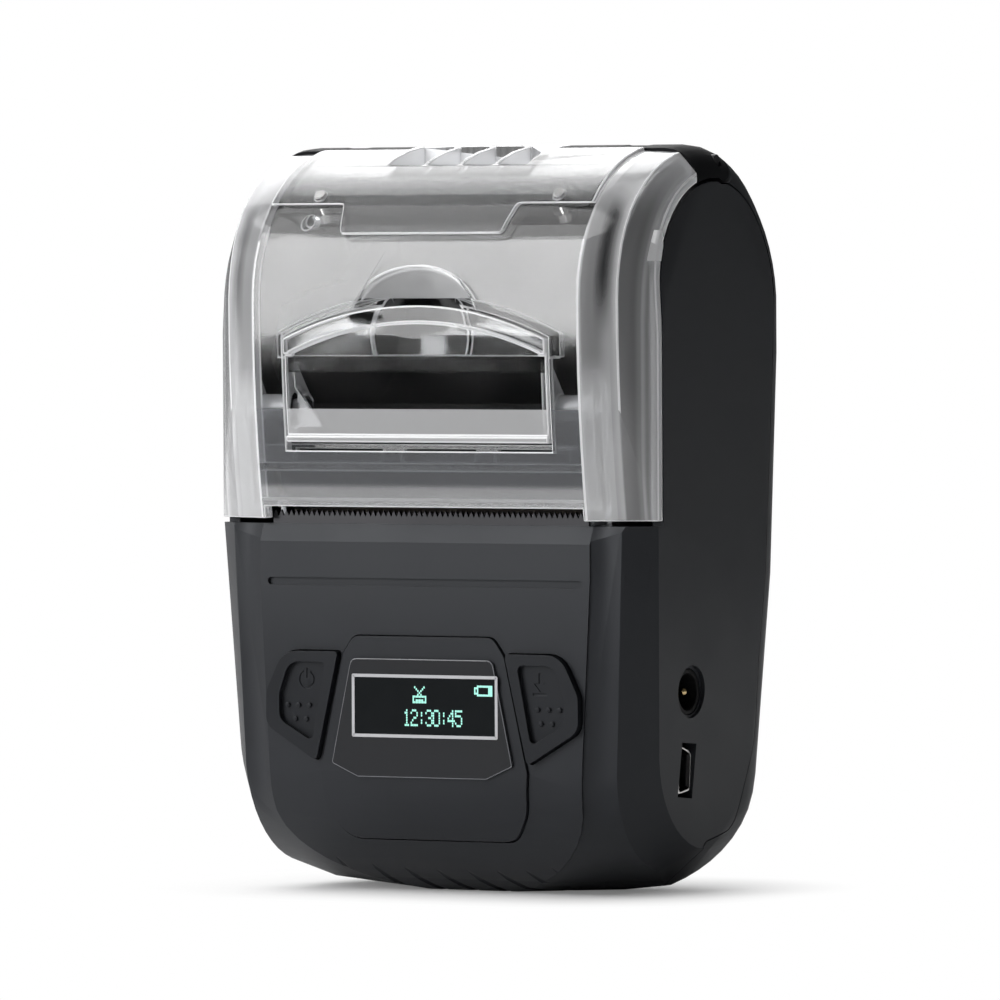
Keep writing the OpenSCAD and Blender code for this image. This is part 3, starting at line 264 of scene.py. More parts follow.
# %% The card on the floor
front_y = -22.4 * mm
card_wide, card_deep, card_edge, card_up = 1.3, 1.6, 84 * mm, 0.6 * mm
bpy.ops.object.select_all(action="DESELECT")
bpy.ops.mesh.primitive_plane_add(size=1, location=(0, 0, 0))
card = bpy.context.object
card.name = "black_card"
card.scale = (card_wide, card_deep, 1)
card.rotation_euler = (0, 0, turn)
flat_ahead = Vector((ahead.x, ahead.y, 0))
card_side = Vector((0, front_y, card_up)) - right * (card_edge + card_wide / 2)
card.location = card_side - flat_ahead * card_deep / 2
card_felt = {"Base Color": (0.01, 0.01, 0.01), "Roughness": 1.0, "Specular IOR Level": 0.0}
felt, tree, shader = new_finish("black_felt", card_felt)
white = add(tree, "ShaderNodeEmission", {"Color": (1, 1, 1)})
turn_white(tree, seen_directly(tree), shader, white, "Material Output")
card.data.materials.append(felt)
print("black card at", [round(v, 2) for v in card.location])

# %% [markdown]
# ## Soft edges without touching the frame's meshes
#
# No moulded edge is truly sharp. A bevel modifier rounds every edge that turns by more than a
# set angle, and a bright line runs along it, as on the real part. The meshes arrive as
# triangles with fixed normals, so a small node group first drops those, smooths every face, and
# keeps an edge hard only where the surface turns by more than the angle. Modifiers leave the
# mesh itself alone, so the frame stays exact.

# %% A group that smooths by angle
def new_group(name, kind, inputs, outputs):
    """A node group: its tree, what comes in, and the node that gathers what goes out."""
    tree = bpy.data.node_groups.new(name, kind)
    for way, sockets in (("INPUT", inputs), ("OUTPUT", outputs)):
        for label, sort in sockets.items():
            tree.interface.new_socket(label, in_out=way, socket_type="NodeSocket" + sort)
    return tree, add(tree, "NodeGroupInput").outputs, add(tree, "NodeGroupOutput")


smoother, given, end = new_group(
    "smooth_by_turn", "GeometryNodeTree",
    {"Geometry": "Geometry", "Angle": "Float"}, {"Geometry": "Geometry"},
)
no_normals = {"Geometry": given["Geometry"], "Name": "custom_normal"}
drop = add(smoother, "GeometryNodeRemoveAttribute", no_normals)
plain = {"Geometry": drop.outputs["Geometry"]}
faces = add(smoother, "GeometryNodeSetShadeSmooth", plain, domain="FACE")
turned = add(smoother, "GeometryNodeInputMeshEdgeAngle").outputs["Unsigned Angle"]
sharper = add(
    smoother, "FunctionNodeCompare", {0: turned, 1: given["Angle"]},
    data_type="FLOAT", operation="GREATER_THAN",
)
sharp = {
    "Geometry": faces.outputs["Geometry"], "Selection": sharper.outputs["Result"],
    "Shade Smooth": False,
}
edges = add(smoother, "GeometryNodeSetShadeSmooth", sharp, domain="EDGE")
feed(smoother, end, {"Geometry": edges.outputs["Geometry"]})
sockets = smoother.interface.items_tree
angle_socket = [item.identifier for item in sockets if item.name == "Angle"][0]
print("smoothing group made, its angle is", angle_socket)

# %% [markdown]
# ## How round each edge is
#
# The edges of a casing are rounded by about 0.3 mm, and small pressed or turned pieces have
# less. The cover and its flap keep their full rounding even where faces are narrow, because
# their bright edges are what you see of them. On every other piece the modifier may shrink the
# rounding where there is little room.

# %% Edge softening
edge_widths = {
    "front_shell": 0.3, "back_shell": 0.3, "hinge_bar": 0.3, "battery_door": 0.3,
    "display_bezel": 0.3, "display_label": 0.14, "power_button": 0.25, "feed_button": 0.25,
    "clear_cover": 0.2, "release_lever": 0.3, "paper_cradle": 0.2, "print_frame": 0.1,
    "platen_shaft": 0.1, "dc_jack": 0.15, "usb_socket": 0.1,
}
edge_angles = {"front_shell": 16, "back_shell": 18, "clear_cover": 16, "hinge_bar": 20}
usual_angle = 30
merge_reach = 0.002 * mm


def soften(piece, width, angle):
    piece.modifiers.new("weld", "WELD").merge_threshold = merge_reach
    flat = piece.modifiers.new("flat", "DECIMATE")
    flat.decimate_type = "DISSOLVE"
    flat.angle_limit = math.radians(0.4)
    if width:
        edge = piece.modifiers.new("edge", "BEVEL")
        edge.width = width
        edge.segments = 2
        edge.limit_method = "ANGLE"
        edge.angle_limit = math.radians(angle)
        edge.use_clamp_overlap = piece.name not in ("clear_cover", "release_lever")
    smooth = piece.modifiers.new("smooth", "NODES")
    smooth.node_group = smoother
    smooth[angle_socket] = math.radians(angle)
    piece.modifiers.new("weighted", "WEIGHTED_NORMAL").keep_sharp = True


for name, piece in pieces.items():
    soften(piece, edge_widths.get(name, 0) * mm, edge_angles.get(name, usual_angle))
print("edges rounded on", len(edge_widths), "of", len(pieces), "nodes")

# %% [markdown]
# ## Shared effects
#
# Two small effects return in many finishes. The first is a mould grain: very fine noise that
# tilts the surface a little, so that a lamp's reflection spreads. The second is a slow,
# cloudy variation, because no real surface is equally matt everywhere. Each is a group that
# gives out a plain value, and the shader stays outside.

# %% Groups for grain and clouding
def make_noise_group(name, detail, lowest, highest):
    """Noise of a given size, stretched so that it runs from 0 to 1."""
    group, given, end = new_group(name, "ShaderNodeTree", {"Size": "Float"}, {"Value": "Float"})
    spot = add(group, "ShaderNodeTexCoord").outputs["Object"]
    per_metre = maths(group, "DIVIDE", 1.0, given["Size"])
    noise = add(group, "ShaderNodeTexNoise", {"Vector": spot, "Scale": per_metre, "Detail": detail})
    feed(group, end, {"Value": between(group, noise.outputs[0], lowest, highest)})
    return group


def effect(tree, group, size):
    return add(tree, "ShaderNodeGroup", {"Size": size}, node_tree=group).outputs["Value"]


grain_group = make_noise_group("mould_grain", 2.0, 0.3, 0.7)
cloud_group = make_noise_group("clouding", 3.0, 0.35, 0.65)
print("groups:", grain_group.name, cloud_group.name)

# %% [markdown]
# ## One recipe for all opaque finishes
#
# Plastic, rubber, boards and metals differ in colour, in how matt they are and in how fine
# their grain is, but they are built alike. So one function takes these numbers. The clouding
# goes into the colour and the roughness, and the grain goes into the bump. A finish can also
# bring shallow shapes of its own, which lie under the grain.

# %% The opaque finish
cloud_size, grain_size = 14 * mm, 0.16 * mm


def mixed(tree, share, first, second):
    """A colour between two colours."""
    return add(tree, "ShaderNodeMix", {0: share, 6: first, 7: second}, data_type="RGBA").outputs[2]


def bumped(tree, height, distance, under=None, strength=1.0):
    """Tilt the surface by a height, on top of the tilt that lies under it."""
    bump = {"Height": height, "Distance": distance, "Strength": strength}
    if under:
        bump["Normal"] = under
    return add(tree, "ShaderNodeBump", bump).outputs["Normal"]


def grained(
    name, color, roughness, grain_height=0.004, cloud=0.03, tint=0.1,
    specular=0.4, specular_tint=(1, 1, 1), metallic=0.0, shapes=(),
):
    """Grain in the normal, and clouding in the colour and the roughness."""
    material, tree, shader = new_finish(name, {
        "Specular IOR Level": specular, "Specular Tint": specular_tint, "Metallic": metallic,
    })
    clouds = effect(tree, cloud_group, cloud_size)
    darker, lighter = (tuple(c * side for c in color) for side in (1 - tint, 1 + tint))
    feed(tree, shader, {
        "Base Color": mixed(tree, clouds, darker, lighter),
        "Roughness": between(tree, clouds, 0, 1, roughness - cloud, roughness + cloud),
    })
    tilt = None
    for shape in shapes:
        tilt = shape(tree, tilt)
    if grain_height:
        grain = effect(tree, grain_group, grain_size)
        tilt = bumped(tree, grain, grain_height * mm, tilt)
        feed(tree, shader, {"Normal": tilt})
    return material


print("clouds and grain in mm:", round(cloud_size / mm, 2), round(grain_size / mm, 2))

# %% [markdown]
# ## Shapes too shallow to model
#
# Beside the front panel each band is hollowed a little, like a shallow cove. The hollow is too
# shallow for the outline to show it, but it turns the light from dark at the panel's edge to
# pale at the outer crease. So it is added as a height that depends only on how far a point lies
# from the panel's edge. In the same way the front falls back a little towards its foot, which
# is why it gets darker there. That height grows with the square of the distance.

# %% Hollow bands and a falling front
half_width, half_foot_width, widest_from = 40 * mm, 37.4 * mm, 50 * mm
band, hollow_wide, hollow_deep = 9.7 * mm, 5.4 * mm, 0.45 * mm
fall_from, fall_to, fall_deep = 52 * mm, 2 * mm, 8.0 * mm


def place(tree):
    """Where a point lies on its piece, as X, Y and Z in metres."""
    spot = add(tree, "ShaderNodeTexCoord").outputs["Object"]
    return add(tree, "ShaderNodeSeparateXYZ", {0: spot}).outputs


def hollow_bands(tree, under):
    at = place(tree)
    edge_low, edge_high = half_foot_width - band, half_width - band
    panel_edge = between(tree, at["Z"], 0, widest_from, edge_low, edge_high)
    past_edge = maths(tree, "SUBTRACT", maths(tree, "ABSOLUTE", at["X"]), panel_edge)
    hollow = maths(tree, "SINE", between(tree, past_edge, 0, hollow_wide, 0, math.pi))
    in_front = between(tree, at["Y"], front_y + 2.2 * mm, front_y + 3.2 * mm, 1, 0)
    off_foot = between(tree, at["Z"], 8 * mm, 22 * mm, smooth=True)
    here = maths(tree, "MULTIPLY", in_front, off_foot)
    return bumped(tree, maths(tree, "MULTIPLY", hollow, here), -hollow_deep, under)


def falling_front(tree, under):
    squared = maths(tree, "POWER", between(tree, place(tree)["Z"], fall_from, fall_to), 2.0)
    return bumped(tree, squared, -fall_deep, under)


print("depth of the hollow and the fall in mm:", hollow_deep / mm, round(fall_deep / mm, 2))

# %% [markdown]
# ## Black plastics
#
# The casing is black plastic from a spark-eroded mould, so it is matt with a fine grain. Its
# colour is far from zero: a black part in a white room always looks dark grey. The keys are
# smoother than the casing. What the black plastic mirrors is tinted a little towards blue,
# because the real casing looks cool beside the white paper. The black inside the printer has no
# grain, and its colour is darker, partly as its own plastic and partly as painted shade of the
# closed paper bay.

# %% Black plastics
casing_black, cool = (0.0150, 0.016, 0.0190), (0.93, 0.96, 1.0)
black_plastic = grained(
    "black_plastic", (0.0145, 0.0155, 0.0185), 0.5, specular=0.35, specular_tint=cool,
)
black_gloss = grained(
    "black_gloss", (0.0076, 0.0082, 0.0104), 0.45, grain_height=0.002,
    specular=0.31, specular_tint=cool, shapes=(falling_front,),
)
# Its darker colour is partly its own and partly painted shade of the paper bay.
black_inner = grained("black_inner", (0.006, 0.006, 0.0065), 0.55, grain_height=0, specular=0.2)
front_black = grained(
    "front_black", casing_black, 0.5,
    specular=0.35, specular_tint=cool, shapes=(falling_front, hollow_bands),
)
island_black = grained(
    "island_black", casing_black, 0.5,
    specular=0.33, specular_tint=cool, shapes=(falling_front,),
)
blacks = (black_plastic, black_gloss, black_inner, front_black, island_black)
print("blacks:", [material.name for material in blacks])

# %% [markdown]
# ## Clear plastic
#
# The cover is moulded in clear plastic about two millimetres thick. What you see is mostly
# reflection, so the surface must be smooth, with only a trace of haze. The crown is frosted:
# the mould is sandblasted there, so its reflections spread into soft fields with a fine
# sparkle. A mask made from height and width says where the crown is, and both the roughness
# and the bump follow it.

# %% Clear plastics
frost, sparkle_size, sparkle_height = 0.22, 0.25 * mm, 0.012 * mm


def on_crown(tree):
    """1 on the crown, which starts lower in the middle than at the sides."""
    at = place(tree)
    across = maths(tree, "ABSOLUTE", at["X"])
    line = between(tree, across, 14.8 * mm, 16.4 * mm, 103.6 * mm, 108.3 * mm)
    inside = maths(tree, "LESS_THAN", across, 29.7 * mm)
    return maths(tree, "MULTIPLY", maths(tree, "GREATER_THAN", at["Z"], line), inside)


def clear_plastic(name, roughness, frosted=None):
    material, tree, shader = new_finish(name, {
        "Base Color": (0.97, 0.975, 0.985), "Transmission Weight": 1.0, "IOR": 1.5,
    })
    haze = between(tree, effect(tree, cloud_group, 9 * mm), 0, 1, roughness, roughness + 0.05)
    if frosted:
        mask = frosted(tree)
        pick = add(tree, "ShaderNodeMix", {0: mask, 2: haze, 3: frost}, data_type="FLOAT")
        haze = pick.outputs[0]
        sparkle = effect(tree, grain_group, sparkle_size)
        feed(tree, shader, {"Normal": bumped(tree, sparkle, sparkle_height, strength=mask)})
    feed(tree, shader, {"Roughness": haze})
    return material


cover_clear = clear_plastic("cover_clear", 0.06, frosted=on_crown)
lever_clear = clear_plastic("lever_clear", 0.05)
print("clear plastics:", cover_clear.name, lever_clear.name)

# %% [markdown]
# ## Milky plastic
#
# A thin sheet of clear plastic only shows what is behind it. Where the cover has walls, a rim, a
# lip or a pocket, you look along the plastic instead of through it, and every step and every
# mould mark catches some light. Those places look milky. Blender could get there with millions
# of rays, but here that light is painted: a finish mixes clear with a share of white, and some
# places also get a faint painted glow. Its colour is either plain or a small recipe of its own.
# The same recipe also makes the frosted tab, whose dull look is real.

# %% Clear plastic with painted light
milk_white, bright_white = (0.95, 0.955, 0.97), (0.98, 0.985, 1.0)


def frost_and_painted_light(name, milk, roughness, color=milk_white, glow=0.0):
    """Clear plastic with a share of white, milk: it paints the light that thick plastic holds, on
    the tab it is real frost, and glow is painted light too.
    """
    material, tree, shader = new_finish(name, {
        "Transmission Weight": 1 - milk, "Roughness": roughness, "IOR": 1.5,
        "Emission Color": (1, 1, 1), "Emission Strength": glow,
    })
    feed(tree, shader, {"Base Color": color(tree) if callable(color) else color})
    return material


def lip_painted_tone(tree):
    """Painted light below the step that runs along the lip, white, and painted shade above it,
    grey.
    """
    lower = between(tree, place(tree)["Z"], 64.9 * mm, 63.7 * mm, smooth=True)
    return mixed(tree, lower, (0.36, 0.37, 0.39), bright_white)


# Each of these paints the light that thick clear plastic gathers; the grip's glow is painted light
# too.
wall_painted_light = frost_and_painted_light("wall_painted_light", 0.3, 0.12)
lip_painted_light = frost_and_painted_light("lip_painted_light", 0.24, 0.2, lip_painted_tone)
grip_painted_light = frost_and_painted_light("grip_painted_light", 0.8, 0.25, glow=0.12)
boss_painted_light = frost_and_painted_light("boss_painted_light", 0.65, 0.2)
foot_painted_light = frost_and_painted_light("foot_painted_light", 0.42, 0.15)
scoop_painted_light = frost_and_painted_light("scoop_painted_light", 0.45, 0.12)
# The rounded edges get a painted highlight, with a faint painted glow.
edge_painted_highlight = frost_and_painted_light("edge_painted_highlight", 0.75, 0.15, glow=0.04)
painted_light = (wall_painted_light, lip_painted_light, grip_painted_light, boss_painted_light, foot_painted_light, scoop_painted_light, edge_painted_highlight)
print("milky plastics:", [material.name for material in painted_light])

# %% [markdown]
# ## The painted light and shade of the rim
#
# The rim at each side of the cover has a groove, a rib and a step, and each of them shows as a
# streak of light and shade from top to bottom. These streaks are painted into the rim's colour,
# which follows the distance from the middle: a ramp holds one painted tone for each place, from
# the inner wall to the outer edge. Three things change it. A dark streak of painted shade runs
# up the groove below the crown. The rim's top and the inner half of its foot are painted paler,
# and so is the left rim, as painted light from the main softbox that it faces.

# %% The rim's painted light and shade
rim_inside, rim_outside = 29.5, 40
# Each stop is a distance from the middle in mm and a painted tone of light and shade.
rim_painted_tones = [
    (29.5, 0.98), (29.95, 0.95), (30.4, 0.5), (32.4, 0.5), (34.6, 0.8), (35.5, 0.98),
    (35.9, 0.4), (37.4, 0.4), (38.1, 0.6), (38.4, 0.98), (38.9, 0.6), (39.4, 0.98),
]


def painted_tones_across(tree, across):
    node = add(tree, "ShaderNodeValToRGB", {
        0: between(tree, across, rim_inside * mm, rim_outside * mm),
    })
    ramp = node.color_ramp
    ramp.interpolation = "EASE"
    for k, (far, tone) in enumerate(rim_painted_tones):
        at = (far - rim_inside) / (rim_outside - rim_inside)
        stop = ramp.elements[0] if k == 0 else ramp.elements.new(at)
        stop.color = (tone, tone * 1.005, tone * 1.02, 1)
    ramp.elements[len(ramp.elements) - 1].color = (*bright_white, 1)
    return node.outputs[0]


def rim_painted_tone(tree):
    at = place(tree)
    z, across = at["Z"], maths(tree, "ABSOLUTE", at["X"])
    groove = maths(tree, "SINE", between(tree, across, 32 * mm, 35 * mm, 0, math.pi))
    from_below = between(tree, z, 86 * mm, 98 * mm, smooth=True)
    to_top = between(tree, z, 106 * mm, 111 * mm, 0.9, 0.0, smooth=True)
    # Painted shade: a dark streak runs up the groove below the crown.
    dark = maths(tree, "MULTIPLY", groove, maths(tree, "MULTIPLY", from_below, to_top))
    streaked = mixed(tree, dark, painted_tones_across(tree, across), (0.03, 0.031, 0.034))
    # Painted light: the inner half of the foot, the top, and the left rim, which faces the main
    # softbox, are paler.
    at_foot = between(tree, z, 86 * mm, 78 * mm, smooth=True)
    inner_foot = maths(tree, "MULTIPLY", at_foot, maths(tree, "LESS_THAN", across, 34.5 * mm))
    at_top = between(tree, z, 106 * mm, 116 * mm, smooth=True)
    left_painted_light = between(tree, at["X"], -5 * mm, 5 * mm, 0.35, 0.0)
    pale = maths(tree, "MAXIMUM", maths(tree, "MAXIMUM", inner_foot, at_top), left_painted_light)
    return mixed(tree, pale, streaked, milk_white)


rim_painted_light = frost_and_painted_light("rim_painted_light", 0.4, 0.12, rim_painted_tone)
print("rim tones:", len(rim_painted_tones))

# %% [markdown]
# ## Where the clear plastic is thick
#
# A node group picks the faces by where they lie and which way they face, so the cover's mesh
# needs no material borders of its own. Each rule below gives 1 for the faces that it picks, and
# the places are laid over each other in order, so a later rule wins. The scoop is found by the
# crown's own curve: what lies a little inside that curve must be sunk into the crown. Heights
# are counted from the table, and widths from the middle to one side.

# %% Rules for faces
lip_top, flap_foot, crown_foot = 74.4 * mm, 76 * mm, 94 * mm
scoop_top, grip_foot = 103 * mm, 112 * mm
rim_from, boss_from, scoop_side, grip_side = 29.75 * mm, 21.5 * mm, 11.5 * mm, 14.4 * mm
steep = 0.55


def all_of(tree, *answers):
    """1 where every answer is 1."""
    result = answers[0]
    for answer in answers[1:]:
        result = maths(tree, "MULTIPLY", result, answer)
    return result


def on_lip(tree, across, at, facing):
    return maths(tree, "LESS_THAN", at["Z"], lip_top)


def on_wall(tree, across, at, facing):
    """Faces that look sideways, and below the crown also those that look up or down."""
    sideways, upright = (maths(tree, "ABSOLUTE", facing[axis]) for axis in "XZ")
    upright = all_of(tree, upright, maths(tree, "LESS_THAN", at["Z"], crown_foot))
    return maths(tree, "GREATER_THAN", maths(tree, "MAXIMUM", sideways, upright), steep)


def on_rim(tree, across, at, facing):
    return maths(tree, "GREATER_THAN", across, rim_from)


def on_boss(tree, across, at, facing):
    return maths(tree, "GREATER_THAN", across, boss_from)


def on_foot(tree, across, at, facing):
    low_down = maths(tree, "LESS_THAN", at["Z"], flap_foot)
    return all_of(tree, low_down, maths(tree, "LESS_THAN", facing["Y"], -0.9))


def under_crown(tree, at, share):
    """1 below the crown's outer line, which is part of an ellipse about the paper roll."""
    squares = []
    for value, middle, reach in ((at["Y"], 1.6 * mm, 26.7 * mm), (at["Z"], 93.9 * mm, 24.05 * mm)):
        way = maths(tree, "DIVIDE", maths(tree, "SUBTRACT", value, middle), reach)
        squares.append(maths(tree, "POWER", way, 2.0))
    return maths(tree, "LESS_THAN", maths(tree, "ADD", *squares), share)


def on_scoop(tree, across, at, facing):
    return all_of(
        tree,
        maths(tree, "LESS_THAN", across, scoop_side), maths(tree, "LESS_THAN", at["Z"], scoop_top),
        maths(tree, "GREATER_THAN", at["Z"], crown_foot), under_crown(tree, at, 0.985),
        maths(tree, "LESS_THAN", facing["Y"], -0.05),
    )


def in_grip(tree, across, at, facing):
    return all_of(
        tree,
        maths(tree, "LESS_THAN", across, grip_side),
        maths(tree, "GREATER_THAN", at["Z"], grip_foot),
        under_crown(tree, at, 0.975), maths(tree, "GREATER_THAN", facing["Z"], -0.5),
    )


# Each place gets one of the finishes with painted light.
cover_places = [
    (lip_painted_light, on_lip), (wall_painted_light, on_wall), (scoop_painted_light, on_scoop),
    (rim_painted_light, on_rim), (grip_painted_light, in_grip),
]
lever_places = [(wall_painted_light, on_wall), (boss_painted_light, on_boss), (foot_painted_light, on_foot)]
print("places:", [rule.__name__ for finish, rule in cover_places + lever_places])

# %% [markdown]
# ## Thick places and painted edge highlights
#
# The group goes in front of the last modifier, after the edges have been rounded. A rounded
# edge gathers light from a wide angle, and that light draws the white lines, so it is painted:
# the rounded edges themselves get the brightest finish, a painted highlight with a faint glow.
# The bevel can give its new faces a material slot of their own, and the rules leave those faces
# alone.

# %% Thick places and painted edge highlights
def paint_edge_highlights(piece, finish):
    """Give the rounded edges of a piece a finish of their own, which is a painted highlight."""
    piece.data.materials.append(finish)
    piece.modifiers["edge"].material = 1


def thick_places(piece, places):
    """Give chosen faces their own finish, with painted light: each place is a finish and a rule for
    faces.
    """
    tree, given, end = new_group(
        "thick_places_" + piece.name, "GeometryNodeTree",
        {"Geometry": "Geometry"}, {"Geometry": "Geometry"},
    )
    spot = add(tree, "GeometryNodeInputPosition").outputs[0]
    normal = add(tree, "GeometryNodeInputNormal").outputs[0]
    at, facing = (add(tree, "ShaderNodeSeparateXYZ", {0: way}).outputs for way in (spot, normal))
    across = maths(tree, "ABSOLUTE", at["X"])
    is_edge = add(tree, "GeometryNodeMaterialSelection", {"Material": edge_painted_highlight}).outputs[0]
    not_edge = maths(tree, "SUBTRACT", 1.0, is_edge)
    flow = given["Geometry"]
    for finish, rule in places:
        chosen = all_of(tree, rule(tree, across, at, facing), not_edge)
        place_finish = {"Geometry": flow, "Selection": chosen, "Material": finish}
        flow = add(tree, "GeometryNodeSetMaterial", place_finish).outputs["Geometry"]
    feed(tree, end, {"Geometry": flow})
    piece.modifiers.new("thick_places", "NODES").node_group = tree
    piece.modifiers.move(len(piece.modifiers) - 1, len(piece.modifiers) - 2)
    paint_edge_highlights(piece, edge_painted_highlight)


thick_places(pieces["clear_cover"], cover_places)
thick_places(pieces["release_lever"], lever_places)
print("modifiers of the cover:", [step.name for step in pieces["clear_cover"].modifiers])

# %% [markdown]
# ## Metals, boards and the other finishes
#
# Most of these pieces only show through the cover, through the sockets or when the printer is
# open. Metals get Metallic 1 and a colour of their own, and their differences lie in the
# roughness: the sockets' nickel is bright, the frame is dull zinc. Circuit boards are green
# with a satin solder mask, and gears are natural, slightly yellow acetal.

# %% Metals and boards
def metal(name, color, roughness):
    return grained(
        name, color, roughness, grain_height=0, cloud=0.05, tint=0.06, specular=0.5, metallic=1.0,
    )


pane = new_finish("pane", {
    "Base Color": (0.5, 0.52, 0.55), "Roughness": 0.08, "Transmission Weight": 1.0, "IOR": 1.45,
})[0]
finishes = {
    "black_plastic": black_plastic, "black_gloss": black_gloss, "black_inner": black_inner,
    "clear_plastic": lever_clear, "pane": pane,
    "steel": metal("steel", (0.60, 0.60, 0.61), 0.28),
    "zinc": metal("zinc", (0.42, 0.43, 0.44), 0.42),
    "nickel": metal("nickel", (0.68, 0.67, 0.66), 0.2),
    "contact_brass": metal("contact_brass", (0.72, 0.55, 0.28), 0.25),
    "heatsink": metal("heatsink", (0.55, 0.56, 0.57), 0.4),
    "ceramic": grained("ceramic", (0.07, 0.06, 0.05), 0.3, grain_height=0, tint=0.04),
    "roller_rubber": grained("roller_rubber", (0.02, 0.02, 0.021), 0.6),
    "chip": grained("chip", (0.016, 0.016, 0.018), 0.45, grain_height=0.003),
}
for name, color, roughness, grain_height, cloud, tint, specular in (
    ("acetal", (0.75, 0.72, 0.62), 0.4, 0.002, 0.03, 0.04, 0.5),
    ("circuit_board", (0.015, 0.10, 0.05), 0.35, 0.002, 0.03, 0.1, 0.5),
    ("radio_board", (0.02, 0.06, 0.18), 0.35, 0.002, 0.03, 0.1, 0.5),
    ("battery_wrap", (0.02, 0.03, 0.05), 0.35, 0.002, 0.03, 0.1, 0.4),
    ("lens", (0.0085, 0.0094, 0.0118), 0.45, 0.001, 0.03, 0.1, 0.18),
    ("display_glass", (0.006, 0.007, 0.009), 0.25, 0, 0.02, 0.1, 0.3),
):
    finishes[name] = grained(name, color, roughness, grain_height, cloud, tint, specular)
print("finishes:", sorted(finishes))

# %% [markdown]
# ## A finish for every piece
#
# The part's record says which kind of material each piece is made of, and most pieces take the
# finish of that name. A few pieces look different from others of their kind: the front with its
# hollow bands, the display's island, the cover with its frosted crown, the tear blade and the
# hinge pin, whose near-black colour is a painted reflection of the dark bay that they mirror, and
# the hinge bar, which is duller than the casing. The lens label's rounded edge catches the light,
# so it gets a pale painted highlight.

# %% Finishes on the pieces
slots_of = {part["node"]: part["material_slot"] for part in frame["record"]["subparts"]}
special = {
    "front_shell": front_black,
    "display_bezel": island_black,
    "clear_cover": cover_clear,
    # Painted reflection: the blade and the pin are made near black, as they mirror the dark bay.
    "tear_blade": metal("blade_steel_painted_dark", (0.035, 0.035, 0.037), 0.36),
    "hinge_pin": metal("pin_steel_painted_dark", (0.03, 0.03, 0.032), 0.4),
    "hinge_bar": grained("bar_black", (0.008, 0.0084, 0.0095), 0.6, specular=0.08),
}
for name, piece in pieces.items():
    piece.data.materials[0] = special.get(name, finishes[slots_of[name]])
lens_edge = grained("lens_edge", (0.16, 0.165, 0.18), 0.3, grain_height=0, specular=0.5)
paint_edge_highlights(pieces["display_label"], lens_edge)
print("finishes of their own:", len(special), "of", len(pieces), "nodes")

# %% [markdown]
# ## The finger grip's rear wall
#
# Behind the ribs of the finger grip stands a low wall of the same clear plastic, with the grip's
# painted light and glow. It hides the black hinge bar behind it, so the grip looks pale from the
# front. A bar at the right place and size is enough, with its edges rounded over by a bevel.

# %% The grip's rear wall
def open_mesh(piece):
    """Pick one object and nothing else, and open its mesh for editing with all of it selected."""
    bpy.ops.object.select_all(action="DESELECT")
    bpy.context.view_layer.objects.active = piece
    piece.select_set(True)
    bpy.ops.object.mode_set(mode="EDIT")
    bpy.ops.mesh.select_all(action="SELECT")


bpy.ops.object.select_all(action="DESELECT")
bpy.ops.mesh.primitive_cube_add(size=1, location=(1.0 * mm, -0.15 * mm, 116.25 * mm))
grip_wall = bpy.context.object
grip_wall.name = "grip_rear_wall"
grip_wall.scale = (25.2 * mm, 0.9 * mm, 3.1 * mm)
bpy.ops.object.transform_apply(location=True, rotation=True, scale=True)
open_mesh(grip_wall)
bpy.ops.mesh.bevel(offset=0.3 * mm, segments=3, affect="EDGES")
bpy.ops.object.mode_set(mode="OBJECT")
# The wall takes the grip's finish, with its painted light and glow.
grip_wall.data.materials.append(grip_painted_light)
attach(grip_wall, "cover")
print("grip wall", [round(v / mm, 2) for v in grip_wall.dimensions])

# %% [markdown]
# ## The springs behind the print head
#
# Two small springs push the print head against the roller. When the head rocks back they get
# shorter. A copy of the springs, with a mesh of its own, takes their place and hangs on the
# casing, and the frame's springs are hidden. The frame's triangles each have corners of their
# own, so the corners of a copy are merged first.

# %% A copy of the head's springs
def copied(piece, name):
    """A free copy of a frame piece, with its corners merged."""
    copy = piece.copy()
    copy.data = piece.data.copy()
    copy.name = name
    scene.collection.objects.link(copy)
    open_mesh(copy)
    bpy.ops.mesh.remove_doubles(threshold=merge_reach)
    bpy.ops.object.mode_set(mode="OBJECT")
    return copy


springs = copied(pieces["head_springs"], "head_springs_working")
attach(springs, "casing")
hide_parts("head_springs")
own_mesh(springs)
print("springs copied:", len(springs.data.polygons), "faces")

# %% [markdown]
# ## The frosted tab
#
# Clear plastic is let into the mould through one small gate, and where the gate is cut off a
# short dull patch stays on the rim. A copy of the cover is cut down to just that stretch of rim
# and then moved outwards by a few hundredths of a millimetre, so it hugs the rim exactly. Each
# cut is closed with a face, so the tab is a solid piece.

# %% The frosted tab
tab = copied(pieces["clear_cover"], "rim_tab")
tab.modifiers.clear()
tab_cuts = (
    ((38.5 * mm, 0, 0), (1, 0, 0)), ((0, 0, 99.6 * mm), (0, 0, 1)),
    ((0, 0, 104.4 * mm), (0, 0, -1)), ((0, -14.9 * mm, 0), (0, -1, 0)),
)
open_mesh(tab)
for cut_at, toward in tab_cuts:
    bpy.ops.mesh.select_all(action="SELECT")
    bpy.ops.mesh.bisect(plane_co=cut_at, plane_no=toward, use_fill=True, clear_inner=True)
bpy.ops.mesh.select_all(action="SELECT")
bpy.ops.mesh.normals_make_consistent(inside=False)
bpy.ops.transform.shrink_fatten(value=0.03 * mm)
bpy.ops.object.mode_set(mode="OBJECT")
tab.data.materials.clear()
tab.data.materials.append(frost_and_painted_light("tab_milky", 0.8, 0.4))
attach(tab, "cover")
open_edges = len(tab.data.edges) * 2 - sum(len(face.vertices) for face in tab.data.polygons)
print("rim tab", len(tab.data.polygons), "faces", open_edges, "open edges")

